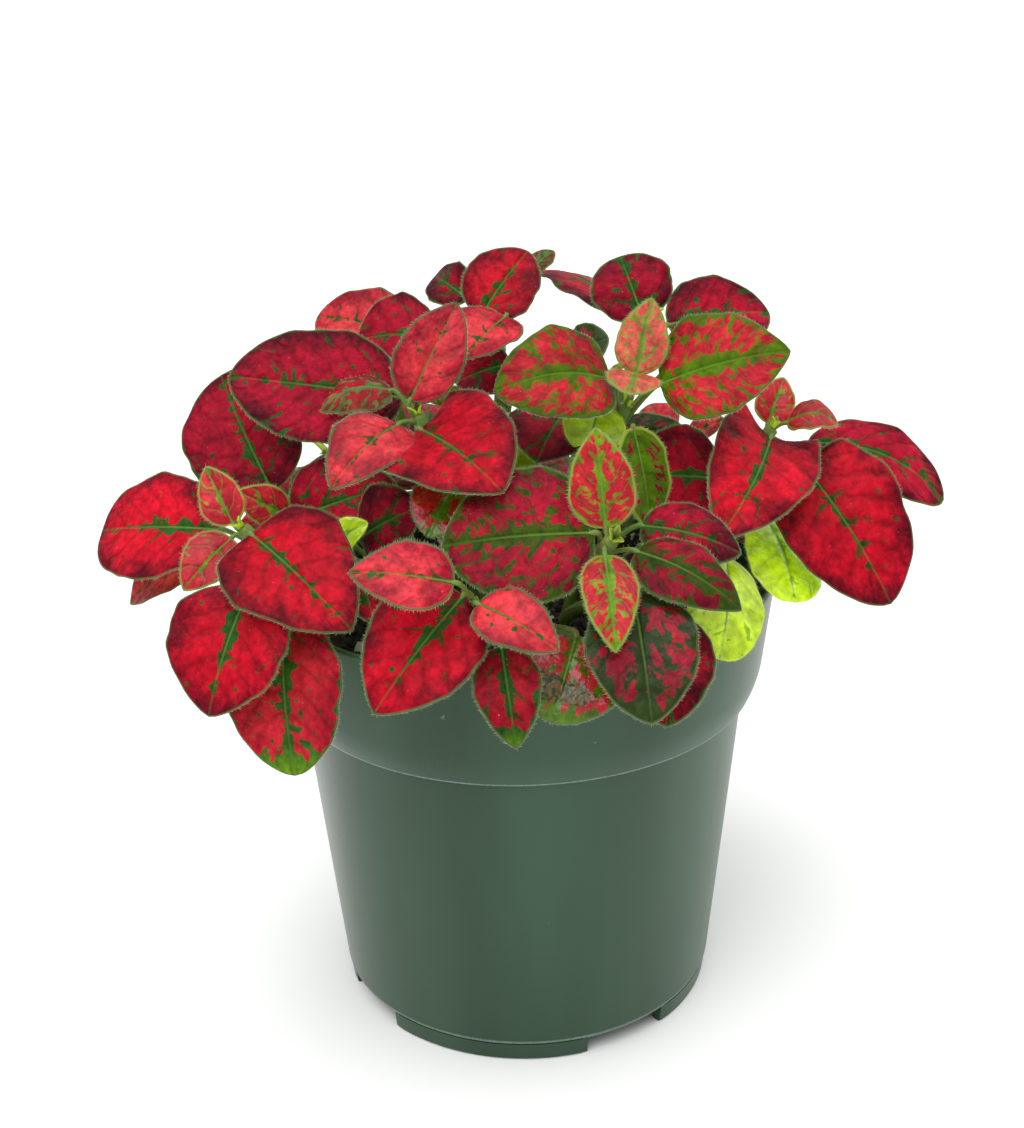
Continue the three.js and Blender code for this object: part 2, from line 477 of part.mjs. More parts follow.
function potSolid() {
  const outline = [
    [0, BODY_BOTTOM - 0.9],
    [BODY_BOTTOM_RADIUS - 1.4, BODY_BOTTOM - 0.9],
    [BODY_BOTTOM_RADIUS, BODY_BOTTOM + 0.5],
    [BODY_TOP_RADIUS, BAND_BOTTOM - 0.4],
    [BAND_BOTTOM_RADIUS - 0.6, BAND_BOTTOM],
    [BAND_BOTTOM_RADIUS, BAND_BOTTOM + 0.6],
    [BAND_BOTTOM_RADIUS + 1.1, BAND_BOTTOM + 3.2],
    [BAND_BOTTOM_RADIUS + 1.9, BAND_BOTTOM + 6.2],
    [RIM_RADIUS, POT_HEIGHT - 0.7],
    [RIM_RADIUS - 0.5, POT_HEIGHT],
    [RIM_RADIUS - 1.1, POT_HEIGHT],
    ...INSIDE.toReversed(),
    [0, BODY_BOTTOM + 0.6],
  ];
  const pieces = [turned(outline, POT_SIDES)];
  for (const azimuth of FOOT_AZIMUTHS) {
    const from = THREE.MathUtils.degToRad(azimuth - FOOT_SPAN / 2 - 90);
    const to = THREE.MathUtils.degToRad(azimuth + FOOT_SPAN / 2 - 90);
    const arc = new THREE.Shape();
    arc.absarc(0, 0, FOOT_RADIUS, from, to, false);
    arc.absarc(0, 0, FOOT_RADIUS - FOOT_WIDTH, to, from, true);
    const foot = new THREE.ExtrudeGeometry(arc, {
      depth: BODY_BOTTOM,
      bevelEnabled: false,
      curveSegments: 6,
    });
    pieces.push(solidFrom(foot));
  }
  return joined(pieces);
}

function soilSolid() {
  const wall = INSIDE.slice(0, 5).map(([radius, height]) => [radius - SOIL_GAP, height + SOIL_GAP]);
  const [lowRadius, lowHeight] = INSIDE[4];
  const [highRadius, highHeight] = INSIDE[5];
  const share = (SOIL_TOP - 0.6 - lowHeight) / (highHeight - lowHeight);
  const topRadius = lowRadius + share * (highRadius - lowRadius) - SOIL_GAP;
  const outline = [
    [0, wall[0][1]],
    ...wall,
    [topRadius, SOIL_TOP - 0.6],
    [topRadius - 3, SOIL_TOP],
    [0, SOIL_TOP],
  ];
  let soil = turned(outline, POT_SIDES);
  for (const shoot of SHOOTS) {
    const depth = SOIL_TOP + 2 - HOLE_BOTTOM;
    const hole = new THREE.CylinderGeometry(HOLE_RADIUS, HOLE_RADIUS, depth, HOLE_SIDES);
    hole.rotateX(Math.PI / 2);
    hole.translate(shoot.stem[0][0], shoot.stem[0][1], HOLE_BOTTOM + depth / 2);
    soil = soil.subtract(solidFrom(hole));
  }
  return soil;
}

function shootMaterial(name) {
  if (GREEN_SHOOTS.includes(name)) {
    return LEAF_GREEN;
  }
  return DEEP_SHOOTS.includes(name) ? LEAF_DEEP : LEAF_RED;
}

const plant = new THREE.Group();
plant.add(meshFrom("pot", potSolid(), POT_GREEN));
plant.add(meshFrom("soil", soilSolid(), SOIL_BROWN));
for (const shoot of SHOOTS) {
  plant.add(meshFrom(shoot.name, shootSolid(shoot), shootMaterial(shoot.name)));
}

export default plant;
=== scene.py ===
"""Potted polka dot plant (Hypoestes phyllostachya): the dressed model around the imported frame.

The pot, the soil and every leafy shoot get finer pieces that stand for the plain solid.  A shoot's
blades follow one leaf rule, with veins and quilting in the mesh, and its stems and leaf stalks are
round tubes.  Geometry nodes grow the fine down along the leaf margins and stems and strew the soil.
Lengths are in millimetres up to the finished meshes, which are in metres.
"""

import math
import random
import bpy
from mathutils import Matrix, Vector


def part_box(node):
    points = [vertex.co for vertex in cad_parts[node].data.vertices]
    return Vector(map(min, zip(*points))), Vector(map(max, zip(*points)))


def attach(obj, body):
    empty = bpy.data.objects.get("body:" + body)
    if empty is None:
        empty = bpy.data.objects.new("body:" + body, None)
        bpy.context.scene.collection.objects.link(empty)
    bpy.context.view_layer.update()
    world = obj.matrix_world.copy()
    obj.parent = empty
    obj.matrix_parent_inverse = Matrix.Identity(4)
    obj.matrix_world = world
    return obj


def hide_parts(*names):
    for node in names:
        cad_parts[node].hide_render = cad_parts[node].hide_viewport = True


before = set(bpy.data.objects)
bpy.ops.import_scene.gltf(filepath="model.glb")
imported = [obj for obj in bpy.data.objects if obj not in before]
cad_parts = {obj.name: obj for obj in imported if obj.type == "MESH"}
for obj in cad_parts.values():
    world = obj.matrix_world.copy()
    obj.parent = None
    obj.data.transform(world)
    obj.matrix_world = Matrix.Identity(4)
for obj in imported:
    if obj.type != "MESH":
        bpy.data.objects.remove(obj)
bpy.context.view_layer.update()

from types import SimpleNamespace

import bpy
import numpy as np
from mathutils import Matrix, Vector

bl_info = {
    "name": "Potted polka dot plant",
    "version": (1, 0, 0),
    "blender": (4, 5, 0),
    "location": "3D View > Sidebar > Plant",
    "description": "Builds a potted polka dot plant piece by piece around its packed frame",
    "category": "Object",
}

MM = 0.001
POT_LOW, POT_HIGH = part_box("pot")
SOIL_LOW, SOIL_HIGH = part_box("soil")


def linear(code):
    """The linear colour of an sRGB hex code."""
    parts = [int(code[i:i + 2], 16) / 255 for i in (1, 3, 5)]
    return tuple(p / 12.92 if p <= 0.04045 else ((p + 0.055) / 1.055) ** 2.4 for p in parts)


def colour(name, description, code):
    """A colour that the user may change."""
    return bpy.props.FloatVectorProperty(
        name=name, description=description, subtype="COLOR", size=3, min=0.0, max=1.0,
        default=linear(code))


def length(name, description, default):
    """A length in metres that the user may change."""
    return bpy.props.FloatProperty(
        name=name, description=description, subtype="DISTANCE", unit="LENGTH", default=default,
        precision=5)


# ---------------------------------------------------------------------------------------- settings

class PotSettings(bpy.types.PropertyGroup):
    """Sizes and colours of the pot and the soil."""

    rim_radius: length("Rim radius", "Outer radius of the lip", (POT_HIGH[0] - POT_LOW[0]) / 2)
    height: length("Height", "From the feet to the top of the lip", POT_HIGH[2] - POT_LOW[2])
    plastic: colour("Plastic", "Dark green moulded polypropylene", "#294531")
    # The mould line colour is a painted highlight: pale lines where light catches the band, feet and lip.
    line: colour("Mould line", "Thin pale line where the plastic is worn smooth", "#8FA399")
    # Soil and crumb are darker than the peat's own colour: painted shade, as the bed lies under the
    # leaves.
    soil: colour("Soil", "Damp peat", "#0F0B08")
    crumb: colour("Crumb", "Drier crumbs of peat and bark", "#241A13")
    perlite: colour("Perlite", "White grains in the soil", "#D9D6CC")
    crumb_size: length("Crumb size", "Middle size of a crumb of soil", 1.3 * MM)


class LeafSettings(bpy.types.PropertyGroup):
    """Sizes and colours of the leaves, stems and down."""

    thickness: length("Blade thickness", "Thickness of a blade at its midrib", 0.42 * MM)
    bright: colour("Bright red", "Ground of a full-grown leaf", "#AE0C20")
    deep: colour("Deep red", "Ground of an older leaf", "#940A24")
    shade: colour("Shade red", "Red towards the margin", "#460818")
    pink: colour("Young pink", "Ground of a young leaf", "#CA323A")
    coral: colour("Coral", "Blotches of the green leaves", "#A61E28")
    rosy: colour("Rosy", "Blotches of the palest young leaves", "#D85F50")
    vein: colour("Vein green", "Broken green along the midrib of a red leaf", "#264A1A")
    green: colour("Leaf green", "Ground of a green leaf", "#436004")
    dull_green: colour("Green in the shade", "Patches of green on lower leaves", "#30460A")
    dull_and_shade_green: colour("Dull green", "Ground of an old green leaf", "#25370E")
    # Dull green also serves as painted shade: the green of the dark kind, for leaves in the shade of
    # others.
    moss: colour("Moss green", "Ground of a leaf that kept little red", "#5A7E0E")
    fresh: colour("Fresh green", "Margin and veins of a young leaf", "#7E8E34")
    olive: colour("Margin", "Thin margin of a leaf", "#4E6436")
    # Lime is lighter than the underside's own pale green: painted light shining through the blade.
    lime: colour("Lime", "Underside of a blade", "#C2E220")
    leaf_shadow: colour("Lime shade", "Darker patches of an underside", "#88AE12")
    withered: colour("Withered", "Dry patch on an old blade", "#6C5433")
    stalk: colour("Stalk", "Stem and leaf stalk", "#5E8034")
    down: colour("Down", "Fine hairs on margins and stems", "#B9C09A")
    down_length: length("Down length", "Middle length of a hair", 0.62 * MM)
    down_spacing: length("Down spacing", "Distance between hairs along a margin", 0.26 * MM)


class StageSettings(bpy.types.PropertyGroup):
    """Floor and lights."""

    floor: colour("Floor", "Plain pale floor", "#FAFAFA")
    sky: bpy.props.FloatProperty(
        name="Room light", description="Strength of the even white light of the room",
        default=0.64, min=0.0)
    key: bpy.props.FloatProperty(
        name="Key light", description="Strength of the wide soft light over the left front",
        default=2.45, min=0.0)
    fill: bpy.props.FloatProperty(
        name="Back light", description="Strength of the soft light at the right and behind",
        default=0.9, min=0.0)


# ------------------------------------------------------------------------------------ shared tools

def plug(tree, node, inputs):
    """Sets a node's inputs: another node's socket is linked, and a plain value is stored."""
    for key, source in inputs.items():
        if isinstance(source, bpy.types.NodeSocket):
            tree.links.new(source, node.inputs[key])
        else:
            node.inputs[key].default_value = source


def add(tree, kind, inputs=None, **settings):
    """A new node with its settings and inputs."""
    node = tree.nodes.new(kind)
    for name, value in settings.items():
        setattr(node, name, value)
    plug(tree, node, inputs or {})
    return node


def rgba(values):
    """A colour with full alpha."""
    return (values[0], values[1], values[2], 1.0)


def new_material(name):
    """A material with a bare Principled shader: (material, tree, shader)."""
    material = bpy.data.materials.new(name)
    material.use_nodes = True
    tree = material.node_tree
    tree.nodes.clear()
    shader = add(tree, "ShaderNodeBsdfPrincipled")
    add(tree, "ShaderNodeOutputMaterial", {"Surface": shader.outputs[0]})
    return material, tree, shader


def mesh_object(name, points, faces, materials):
    """A smooth mesh object in metres at the origin."""
    mesh = bpy.data.meshes.new(name)
    mesh.from_pydata([tuple(p) for p in points], [], faces)
    for material in materials:
        mesh.materials.append(material)
    mesh.polygons.foreach_set("use_smooth", [True] * len(mesh.polygons))
    mesh.update()
    piece = bpy.data.objects.new(name, mesh)
    bpy.context.scene.collection.objects.link(piece)
    return piece


def write_attribute(mesh, name, vectors):
    """Stores one vector for each vertex."""
    layer = mesh.attributes.new(name, "FLOAT_VECTOR", "POINT")
    layer.data.foreach_set("vector", np.asarray(vectors, dtype=np.float32).ravel())


def grown(name, source, tree, inputs):
    """The plain mesh that a geometry nodes tree makes from a source mesh."""
    carrier = bpy.data.objects.new(name + "_source", source)
    bpy.context.scene.collection.objects.link(carrier)
    modifier = carrier.modifiers.new("grow", "NODES")
    modifier.node_group = tree
    for socket in tree.interface.items_tree:
        if socket.item_type == "SOCKET" and socket.in_out == "INPUT" and socket.name in inputs:
            modifier[socket.identifier] = inputs[socket.name]
    graph = bpy.context.evaluated_depsgraph_get()
    mesh = bpy.data.meshes.new_from_object(carrier.evaluated_get(graph))
    mesh.name = name
    bpy.data.objects.remove(carrier)
    piece = bpy.data.objects.new(name, mesh)
    bpy.context.scene.collection.objects.link(piece)
    return piece


def dressed(piece, node):
    """Ties a finished piece to the frame."""
    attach(piece, "root")
    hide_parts(node)


def unit(vectors):
    """Vectors of length one along the last axis."""
    vectors = np.asarray(vectors, dtype=float)
    return vectors / np.maximum(np.linalg.norm(vectors, axis=-1, keepdims=True), 1e-12)


# ------------------------------------------------------------------------------------- the shoots

# Every stem stands upright in the soil, from STEM_FOOT to STEM_RISE above the floor.
STEM_FOOT = 79
STEM_RISE = 89
# Two forms that many leaves share.
PLAIN = [0.08, 0.1, 0.68, 0, 0]
LOBED = [0.08, 0.1, 0.62, 0.04, 0]

# Each shoot in millimetres: its name, material slot, the place of its foot, the points of its
# stem above the soil, and its leaves: [kind, share of the stem's length where its stalk leaves,
# blade base, blade tip, width, [azimuth, elevation] that the blade faces,
# [arch along the midrib, fold across it, pointedness, heart lobes, sideways sweep]].
SHOOTS = [
    {"name": "shoot_left", "slot": "leaves_red", "foot": [-14, -6],
     "stem": [[-33, -15, 97], [-47, -23, 107], [-53.5, -25, 116]],
     "leaves": [
      ["sprout", 1, [-55.3, -25, 117], [-60.8, -19, 127], 9, [-95, 20], [0.05, 0.1, 0.85, 0, 0]],
      ["sprout", 1, [-55.5, -27, 115], [-64.5, -34, 107], 11, [-90, 50], [0.08, 0.1, 0.8, 0, 0]],
      ["red", 0.93, [-58.5, -20, 114], [-86, -6, 109], 23.5, [-95, 45], [0.05, 0.06, 0.45, 0, 0]],
      ["red", 0.93, [-51.5, -29, 116.5], [-31, -49, 104.5], 25, [-95, 52], [0.08, 0.12, 0.8, 0.06, 0]],
      ["young", 0.66, [-62.5, -8, 105.5], [-81, -10, 94], 13, [-120, 50], [0.12, 0.2, 0.8, 0, 0]],
      ["red", 0.66, [-51, -38, 109], [-59, -49, 87.5], 25, [-108, 32], [0.08, 0.08, 0.74, 0, 0]],
      ["edge", 0.4, [-45, -38, 104], [-43.5, -50, 75], 23.5, [-106, 28], [0.08, 0.06, 0.62, 0, 0]],
      ["deep", 0.4, [-33, -24, 106.5], [-27.5, -42, 102.5], 14, [-60, 60], [0.1, 0.1, 0.75, 0, 0]],
     ]},
    {"name": "shoot_left_back", "slot": "leaves_deep", "foot": [-16, 2],
     "stem": [[-34, -2, 98], [-46, -4, 107]],
     "leaves": [
      ["deep", 1, [-50, -6, 116.5], [-62, 14, 136], 27, [-110, 35], [0.06, 0.08, 0.55, 0, 0]],
      ["deep", 1, [-46, -12, 112.5], [-24, -14, 120.5], 20, [-85, 40], [0.06, 0.12, 0.75, 0, 0]],
      ["deep", 0.5, [-31, -22, 112.5], [-18.4, -28, 120.7], 16, [-90, 40], [0.08, 0.1, 0.7, 0, 0]],
      ["sprout", 0.85, [-46.5, -13, 114], [-56, -14.5, 120], 8.5, [-90, 30], [0.08, 0.15, 0.8, 0, 0]],
      ["lime", 0.45, [-37.4, -24, 111.2], [-29, -26.5, 117.2], 7, [-90, 45], [0.08, 0.1, 0.7, 0, 0]],
      ["deep", 0.6, [-44, 8, 107], [-61, 22, 109], 21, [140, 60], LOBED],
     ]},
    {"name": "shoot_upper_left", "slot": "leaves_red", "foot": [-8, -4],
     "stem": [[-12, -8, 108], [-17, -12, 125], [-19, -15, 135]],
     "leaves": [
      ["young", 1, [-20.5, -16, 138.4], [-10.8, -8, 155.6], 13.5, [-90, 25], [0.05, 0.08, 0.75, 0, 0]],
      ["young", 1, [-22.6, -19.5, 134.8], [-34.4, -38, 128.3], 15, [-98, 42], [0.12, 0.1, 0.8, 0, 0]],
      ["curl", 0.96, [-24.5, -9, 138.5], [-38.5, -11, 135], 12, [-120, 65], [0.22, -0.3, 0.8, 0, 0]],
      ["red", 0.9, [-18.5, -20.5, 134], [-2.5, -44, 129], 26, [-85, 50], [0.08, 0.1, 0.78, 0.3, 0]],
      ["deep", 0.8, [-22.5, -2.5, 135], [-58, 0, 139.5], 25.5, [-100, 42], [0.02, 0.04, 0.6, 0, 0]],
      ["wet", 0.7, [-11.5, -28, 125.5], [-17, -37, 118], 13, [-95, 40], [0.08, 0.1, 0.7, 0, 0]],
      ["deep", 0.66, [-27, 3, 122], [-39, 15, 117], 18, [130, 50], LOBED],
     ]},
    {"name": "shoot_top", "slot": "leaves_red", "foot": [-2, 4],
     "stem": [[-3, 8, 112], [-3, 13, 136], [-3, 16, 146]],
     "leaves": [
      ["red", 1, [-7, 12, 147.5], [3.5, 20, 159.5], 16.5, [-105, 30], [0.06, 0.1, 0.62, 0, 0]],
      ["young", 1, [-1.5, 9, 148.5], [-10, -1, 142.3], 15, [-95, 60], [0.06, 0.25, 0.8, 0, 0]],
      ["curl", 1, [3.5, 20, 155], [9, 27, 158], 5, [-90, 50], [0.05, 0.1, 0.7, 0, 0]],
      ["deep", 0.92, [-9.3, 22, 149], [-17, 36, 151], 10.5, [-120, 40], [0.1, 0.15, 0.6, 0, 0]],
      ["deep", 0.85, [-16, 13.5, 143], [-33.2, 17, 141.8], 19.5, [-70, 50], [0.1, 0.2, 0.5, 0, 0]],
      ["young", 0.8, [-22, 23, 141], [-43.5, 36, 142.5], 17.5, [-110, 45], [0.06, 0.08, 0.6, 0, 0]],
      ["deep", 0.72, [-0.5, 11, 138], [-12.5, 9, 134.5], 12, [-90, 40], [0.08, 0.1, 0.7, 0, 0]],
      ["deep", 0.66, [-10, 24, 129], [-16, 40, 120], 19, [105, 45], LOBED],
      ["deep", 0.52, [0, 22, 121], [-3, 31, 102], 17, [95, 30], LOBED],
     ]},
    {"name": "shoot_crown", "slot": "leaves_green", "foot": [6, 2],
     "stem": [[12, -2, 108], [19, -6.5, 125], [22, -9, 134]],
     "leaves": [
      ["pale", 1, [23.7, -12, 141.5], [27.2, -7, 155.5], 10.5, [-90, 20], [0.04, 0.12, 0.85, 0, 0]],
      ["pale", 1, [24, -13, 142], [21.8, -19, 139.5], 11, [-90, 60], [0.1, 0.1, 0.6, 0, 0]],
      ["green", 0.93, [28.5, -12, 139.4], [53.5, -15, 146.3], 22, [-90, 40], [0.1, 0.08, 0.8, 0, 0]],
      ["green", 0.93, [19, -11, 140.3], [-4, -17, 140], 21.5, [-90, 48], [0.18, 0.04, 0.7, 0.06, 0]],
      ["lime", 0.7, [17, -8, 134.8], [13.6, -14, 126], 13, [-90, 10], [0.1, 0.1, 0.55, 0, 0]],
      ["deep", 0.7, [10, 0, 130], [4, -16, 125], 19, [-90, 60], [0.1, 0.1, 0.7, 0, 0]],
      ["dark", 0.6, [19, 4, 122.5], [36.5, 4, 123.5], 9, [-90, 40], [0.2, -0.1, 0.7, 0, 0]],
     ]},
    {"name": "shoot_centre", "slot": "leaves_green", "foot": [4, -8],
     "stem": [[8, -24, 102], [14, -40, 114], [17, -46, 120]],
     "leaves": [
      ["fleck", 1, [16, -45, 122], [14.5, -39, 139.5], 12.4, [-90, 22], [0.04, 0.12, 0.85, 0, 0]],
      ["fleck", 1, [15.6, -49, 118.5], [16.7, -63, 105.5], 10.5, [-85, 45], [0.06, 0.14, 0.85, 0, 0]],
      ["dim", 0.93, [14, -45.5, 121.5], [-14, -45.5, 119.5], 26.5, [-90, 43], [0.06, 0.06, 0.66, 0.04, 0]],
      ["dim", 0.93, [21.5, -45, 117.5], [40, -54, 109], 14, [-80, 55], [0.12, -0.2, 0.85, 0, 0]],
      ["deep", 0.8, [23, -37, 119.4], [41.5, -40.5, 114.6], 14.5, [-80, 55], [0.1, -0.12, 0.75, 0, 0]],
     ]},
    {"name": "shoot_front", "slot": "leaves_red", "foot": [-2, -12],
     "stem": [[-6, -32, 98], [-8, -45, 106], [-8, -50, 109]],
     "leaves": [
      ["young", 1, [-11.3, -59, 118], [-30, -58.2, 120], 13, [-90, 45], [0.08, 0.08, 0.85, 0, 0]],
      ["young", 1, [-7.5, -57, 113], [6.5, -66.5, 107.7], 11.5, [-90, 50], [0.1, 0.08, 0.78, 0, 0]],
      ["red", 0.9, [-10, -51, 112.2], [-26.5, -64, 95], 21.5, [-95, 40], [0.08, 0.08, 0.78, 0, 0]],
      ["edge", 0.6, [-3.5, -56, 104], [-1.2, -67, 89], 12.2, [-90, 35], [0.08, 0.08, 0.82, 0, 0]],
      ["withered", 0.6, [10.2, -51.5, 104], [5, -63, 92], 21, [-80, 40], [0.08, 0.06, 0.55, 0, 0]],
     ]},
    {"name": "shoot_front_right", "slot": "leaves_red", "foot": [8, -10],
     "stem": [[18, -30, 102], [24, -42, 110]],
     "leaves": [
      ["dark", 1, [20.7, -50, 111.3], [23, -66, 92.8], 20.5, [-88, 35], [0.08, 0.06, 0.7, 0, 0]],
      ["deep", 1, [26.3, -43, 104.5], [26, -61, 89.5], 19, [-80, 30], [0.06, 0.06, 0.7, 0, 0]],
      ["deep", 0.8, [23.5, -34, 114], [25, -38, 106.5], 10, [-90, 40], [0.06, 0.08, 0.75, 0, 0]],
      ["lime", 0.7, [40.5, -27, 108.5], [37.3, -45, 95], 16, [-70, 30], [0.1, -0.1, 0.45, 0, 0]],
     ]},
    {"name": "shoot_right", "slot": "leaves_red", "foot": [14, 0],
     "stem": [[34, -2, 104], [48, -3, 119], [52, -4, 127]],
     "leaves": [
      ["sprout", 1, [51.5, -2, 127.5], [55.5, 4, 135.5], 8.5, [-90, 20], [0.04, 0.12, 0.8, 0, 0]],
      ["sprout", 1, [55, -5, 128.5], [65, -7, 128.5], 9, [-90, 65], [0.3, -0.1, 0.7, 0, 0]],
      ["red", 0.93, [51.2, -9, 127], [37.9, -34.3, 115], 21.4, [-85, 38], [0.08, 0.12, 0.85, 0.3, 0.03]],
      ["red", 0.93, [57.4, -9, 121.5], [74, -24, 96.3], 27, [-78, 35], [0.08, 0.08, 0.68, 0.16, 0]],
      ["deep", 0.8, [60, 0, 122.5], [88, -5, 111], 17, [-75, 55], [0.1, -0.05, 0.55, 0, 0.08]],
      ["deep", 0.75, [42, -9, 118.2], [23.7, -12.5, 120.5], 22, [-90, 40], [0.06, 0.06, 0.6, 0, 0]],
      ["lime", 0.6, [51, -10, 109.5], [54.5, -26, 98], 17, [-65, 20], [0.08, -0.08, 0.45, 0, 0]],
      ["deep", 0.7, [54, 9, 119], [68, 21, 110], 19, [40, 50], LOBED],
     ]},
    {"name": "shoot_centre_right", "slot": "leaves_green", "foot": [10, -2],
     "stem": [[20, -12, 108], [24, -20, 122]],
     "leaves": [
      ["moss", 1, [22.5, -23, 134.3], [25.5, -28, 114.8], 13, [-50, 10], [0.04, 0.1, 0.7, 0, 0]],
     ]},
    {"name": "shoot_upper_right", "slot": "leaves_deep", "foot": [8, 8],
     "stem": [[18, 10, 116], [26, 13, 140], [29, 14, 146]],
     "leaves": [
      ["deep", 1, [27.3, 14, 145.5], [22.8, 22, 157.5], 17.5, [-90, 30], [0.06, 0.06, 0.48, 0, 0]],
      ["deep", 1, [32, 12, 145], [54.5, 20, 145], 19, [-90, 45], [0.08, 0.06, 0.65, 0, 0]],
      ["deep", 0.9, [22.5, 20, 146], [6, 34, 152.2], 19, [-20, 58], [0.12, -0.15, 0.7, 0, 0]],
      ["dark", 0.8, [11, 8, 138.5], [19.5, 4, 144.5], 12, [-90, 50], [0.1, 0.1, 0.6, 0, 0]],
      ["deep", 0.72, [34, 22, 133], [48, 33, 122], 18, [55, 45], LOBED],
      ["red", 0.55, [23, 19, 121], [29, 33, 116], 13, [65, 50], LOBED],
     ]},
    {"name": "shoot_back_left", "slot": "leaves_red", "foot": [-18, 12],
     "stem": [[-32, 28, 100], [-40, 38, 108]],
     "leaves": [
      ["young", 1, [-43, 36, 111], [-52, 31, 118], 10, [210, 60], PLAIN],
      ["young", 1, [-37, 40, 111], [-29, 44, 118], 9.5, [30, 60], PLAIN],
      ["red", 0.92, [-41, 40, 106], [-51, 55, 98], 17, [125, 70], PLAIN],
      ["red", 0.72, [-40, 27, 101], [-62, 17, 99], 20, [205, 70], PLAIN],
      ["deep", 0.72, [-29, 38, 104], [-18, 55, 106], 20, [50, 70], PLAIN],
      ["red", 0.45, [-44, 38, 100], [-53, 46, 82], 22, [140, 60], PLAIN],
     ]},
    {"name": "shoot_back", "slot": "leaves_red", "foot": [-2, 18],
     "stem": [[-5, 36, 97], [-7, 47, 104]],
     "leaves": [
      ["young", 1, [-11, 47, 107], [-22, 50, 113], 10, [175, 60], PLAIN],
      ["young", 1, [-4, 48, 107], [6, 49, 113], 9.5, [-5, 60], PLAIN],
      ["red", 0.92, [-8, 51, 102.5], [-9, 67.5, 95.5], 17, [90, 70], PLAIN],
      ["red", 0.72, [-14, 42, 100], [-34, 52, 99.5], 20, [170, 70], PLAIN],
      ["deep", 0.72, [1, 43, 100], [15, 56, 100], 20, [15, 70], PLAIN],
      ["red", 0.45, [-9, 57, 99], [-13, 66, 80], 22, [105, 60], PLAIN],
     ]},
    {"name": "shoot_back_right", "slot": "leaves_green", "foot": [16, 14],
     "stem": [[30, 32, 100], [37, 42, 107]],
     "leaves": [
      ["young", 1, [35, 44, 110], [32, 54, 115], 10, [130, 60], PLAIN],
      ["young", 1, [39, 40, 110], [48, 37, 116], 9.5, [-50, 60], PLAIN],
      ["green", 0.92, [39, 43, 105], [52, 56, 97], 17, [45, 70], PLAIN],
      ["green", 0.72, [28, 40, 101], [23, 61, 100], 20, [125, 70], PLAIN],
      ["deep", 0.72, [38, 33, 103], [57, 36, 103], 20, [-30, 70], PLAIN],
      ["green", 0.45, [38, 44, 100], [45, 54, 81], 22, [60, 60], PLAIN],
     ]},
    {"name": "shoot_back_upper_left", "slot": "leaves_deep", "foot": [-12, 10],
     "stem": [[-22, 22, 112], [-27, 28, 126]],
     "leaves": [
      ["young", 1, [-29, 26, 129], [-37, 19, 136], 10, [220, 60], PLAIN],
      ["young", 1, [-25, 30, 129], [-17, 36, 136], 9.5, [40, 60], PLAIN],
      ["deep", 0.92, [-29, 30, 123], [-42, 43, 114], 17, [135, 70], PLAIN],
      ["deep", 0.72, [-29, 19, 113], [-48, 5, 111], 20, [215, 70], PLAIN],
      ["deep", 0.72, [-20, 30, 113], [-21, 52, 117], 20, [60, 70], PLAIN],
     ]},
    {"name": "shoot_back_upper_right", "slot": "leaves_red", "foot": [6, 14],
     "stem": [[14, 28, 112], [18, 35, 124]],
     "leaves": [
      ["young", 1, [15, 36, 127], [6, 42, 134], 10, [150, 60], PLAIN],
      ["young", 1, [21, 34, 127], [29, 29, 134], 9.5, [-30, 60], PLAIN],
      ["red", 0.92, [17, 39, 120], [15, 56, 114], 17, [65, 70], PLAIN],
      ["red", 0.72, [9, 34, 112], [-5, 49, 112], 18, [145, 70], PLAIN],
      ["deep", 0.72, [21, 27, 112], [45, 23, 110], 20, [-10, 70], PLAIN],
      ["red", 0.45, [21, 22, 101], [33, 13, 104], 17, [-20, 60], LOBED],
     ]},
    {"name": "shoot_right_back", "slot": "leaves_red", "foot": [20, 6],
     "stem": [[42, 14, 98], [54, 18, 104]],
     "leaves": [
      ["young", 1, [53, 21, 107], [52, 31, 114], 10, [100, 60], PLAIN],
      ["young", 1, [55, 15, 107], [56, 5, 114], 9.5, [-80, 60], PLAIN],
      ["red", 0.92, [56, 18, 103], [74, 23, 94], 17, [15, 70], PLAIN],
      ["deep", 0.72, [50, 9, 101], [62, -10, 99], 20, [-60, 70], PLAIN],
      ["red", 0.45, [54, 22, 99], [63, 27, 80], 22, [30, 60], PLAIN],
     ]},
]


# --------------------------------------------------------------------------------------- materials
#
# Inputs are numbered as the nodes number them.  Map Range: 0 is the value, 1 and 2 the range it comes
# from, 3 and 4 the range it goes to (0 to 1 where left out).  Mix: 0 is the factor, 2 and 3 are
# numbers, 6 and 7 colours.

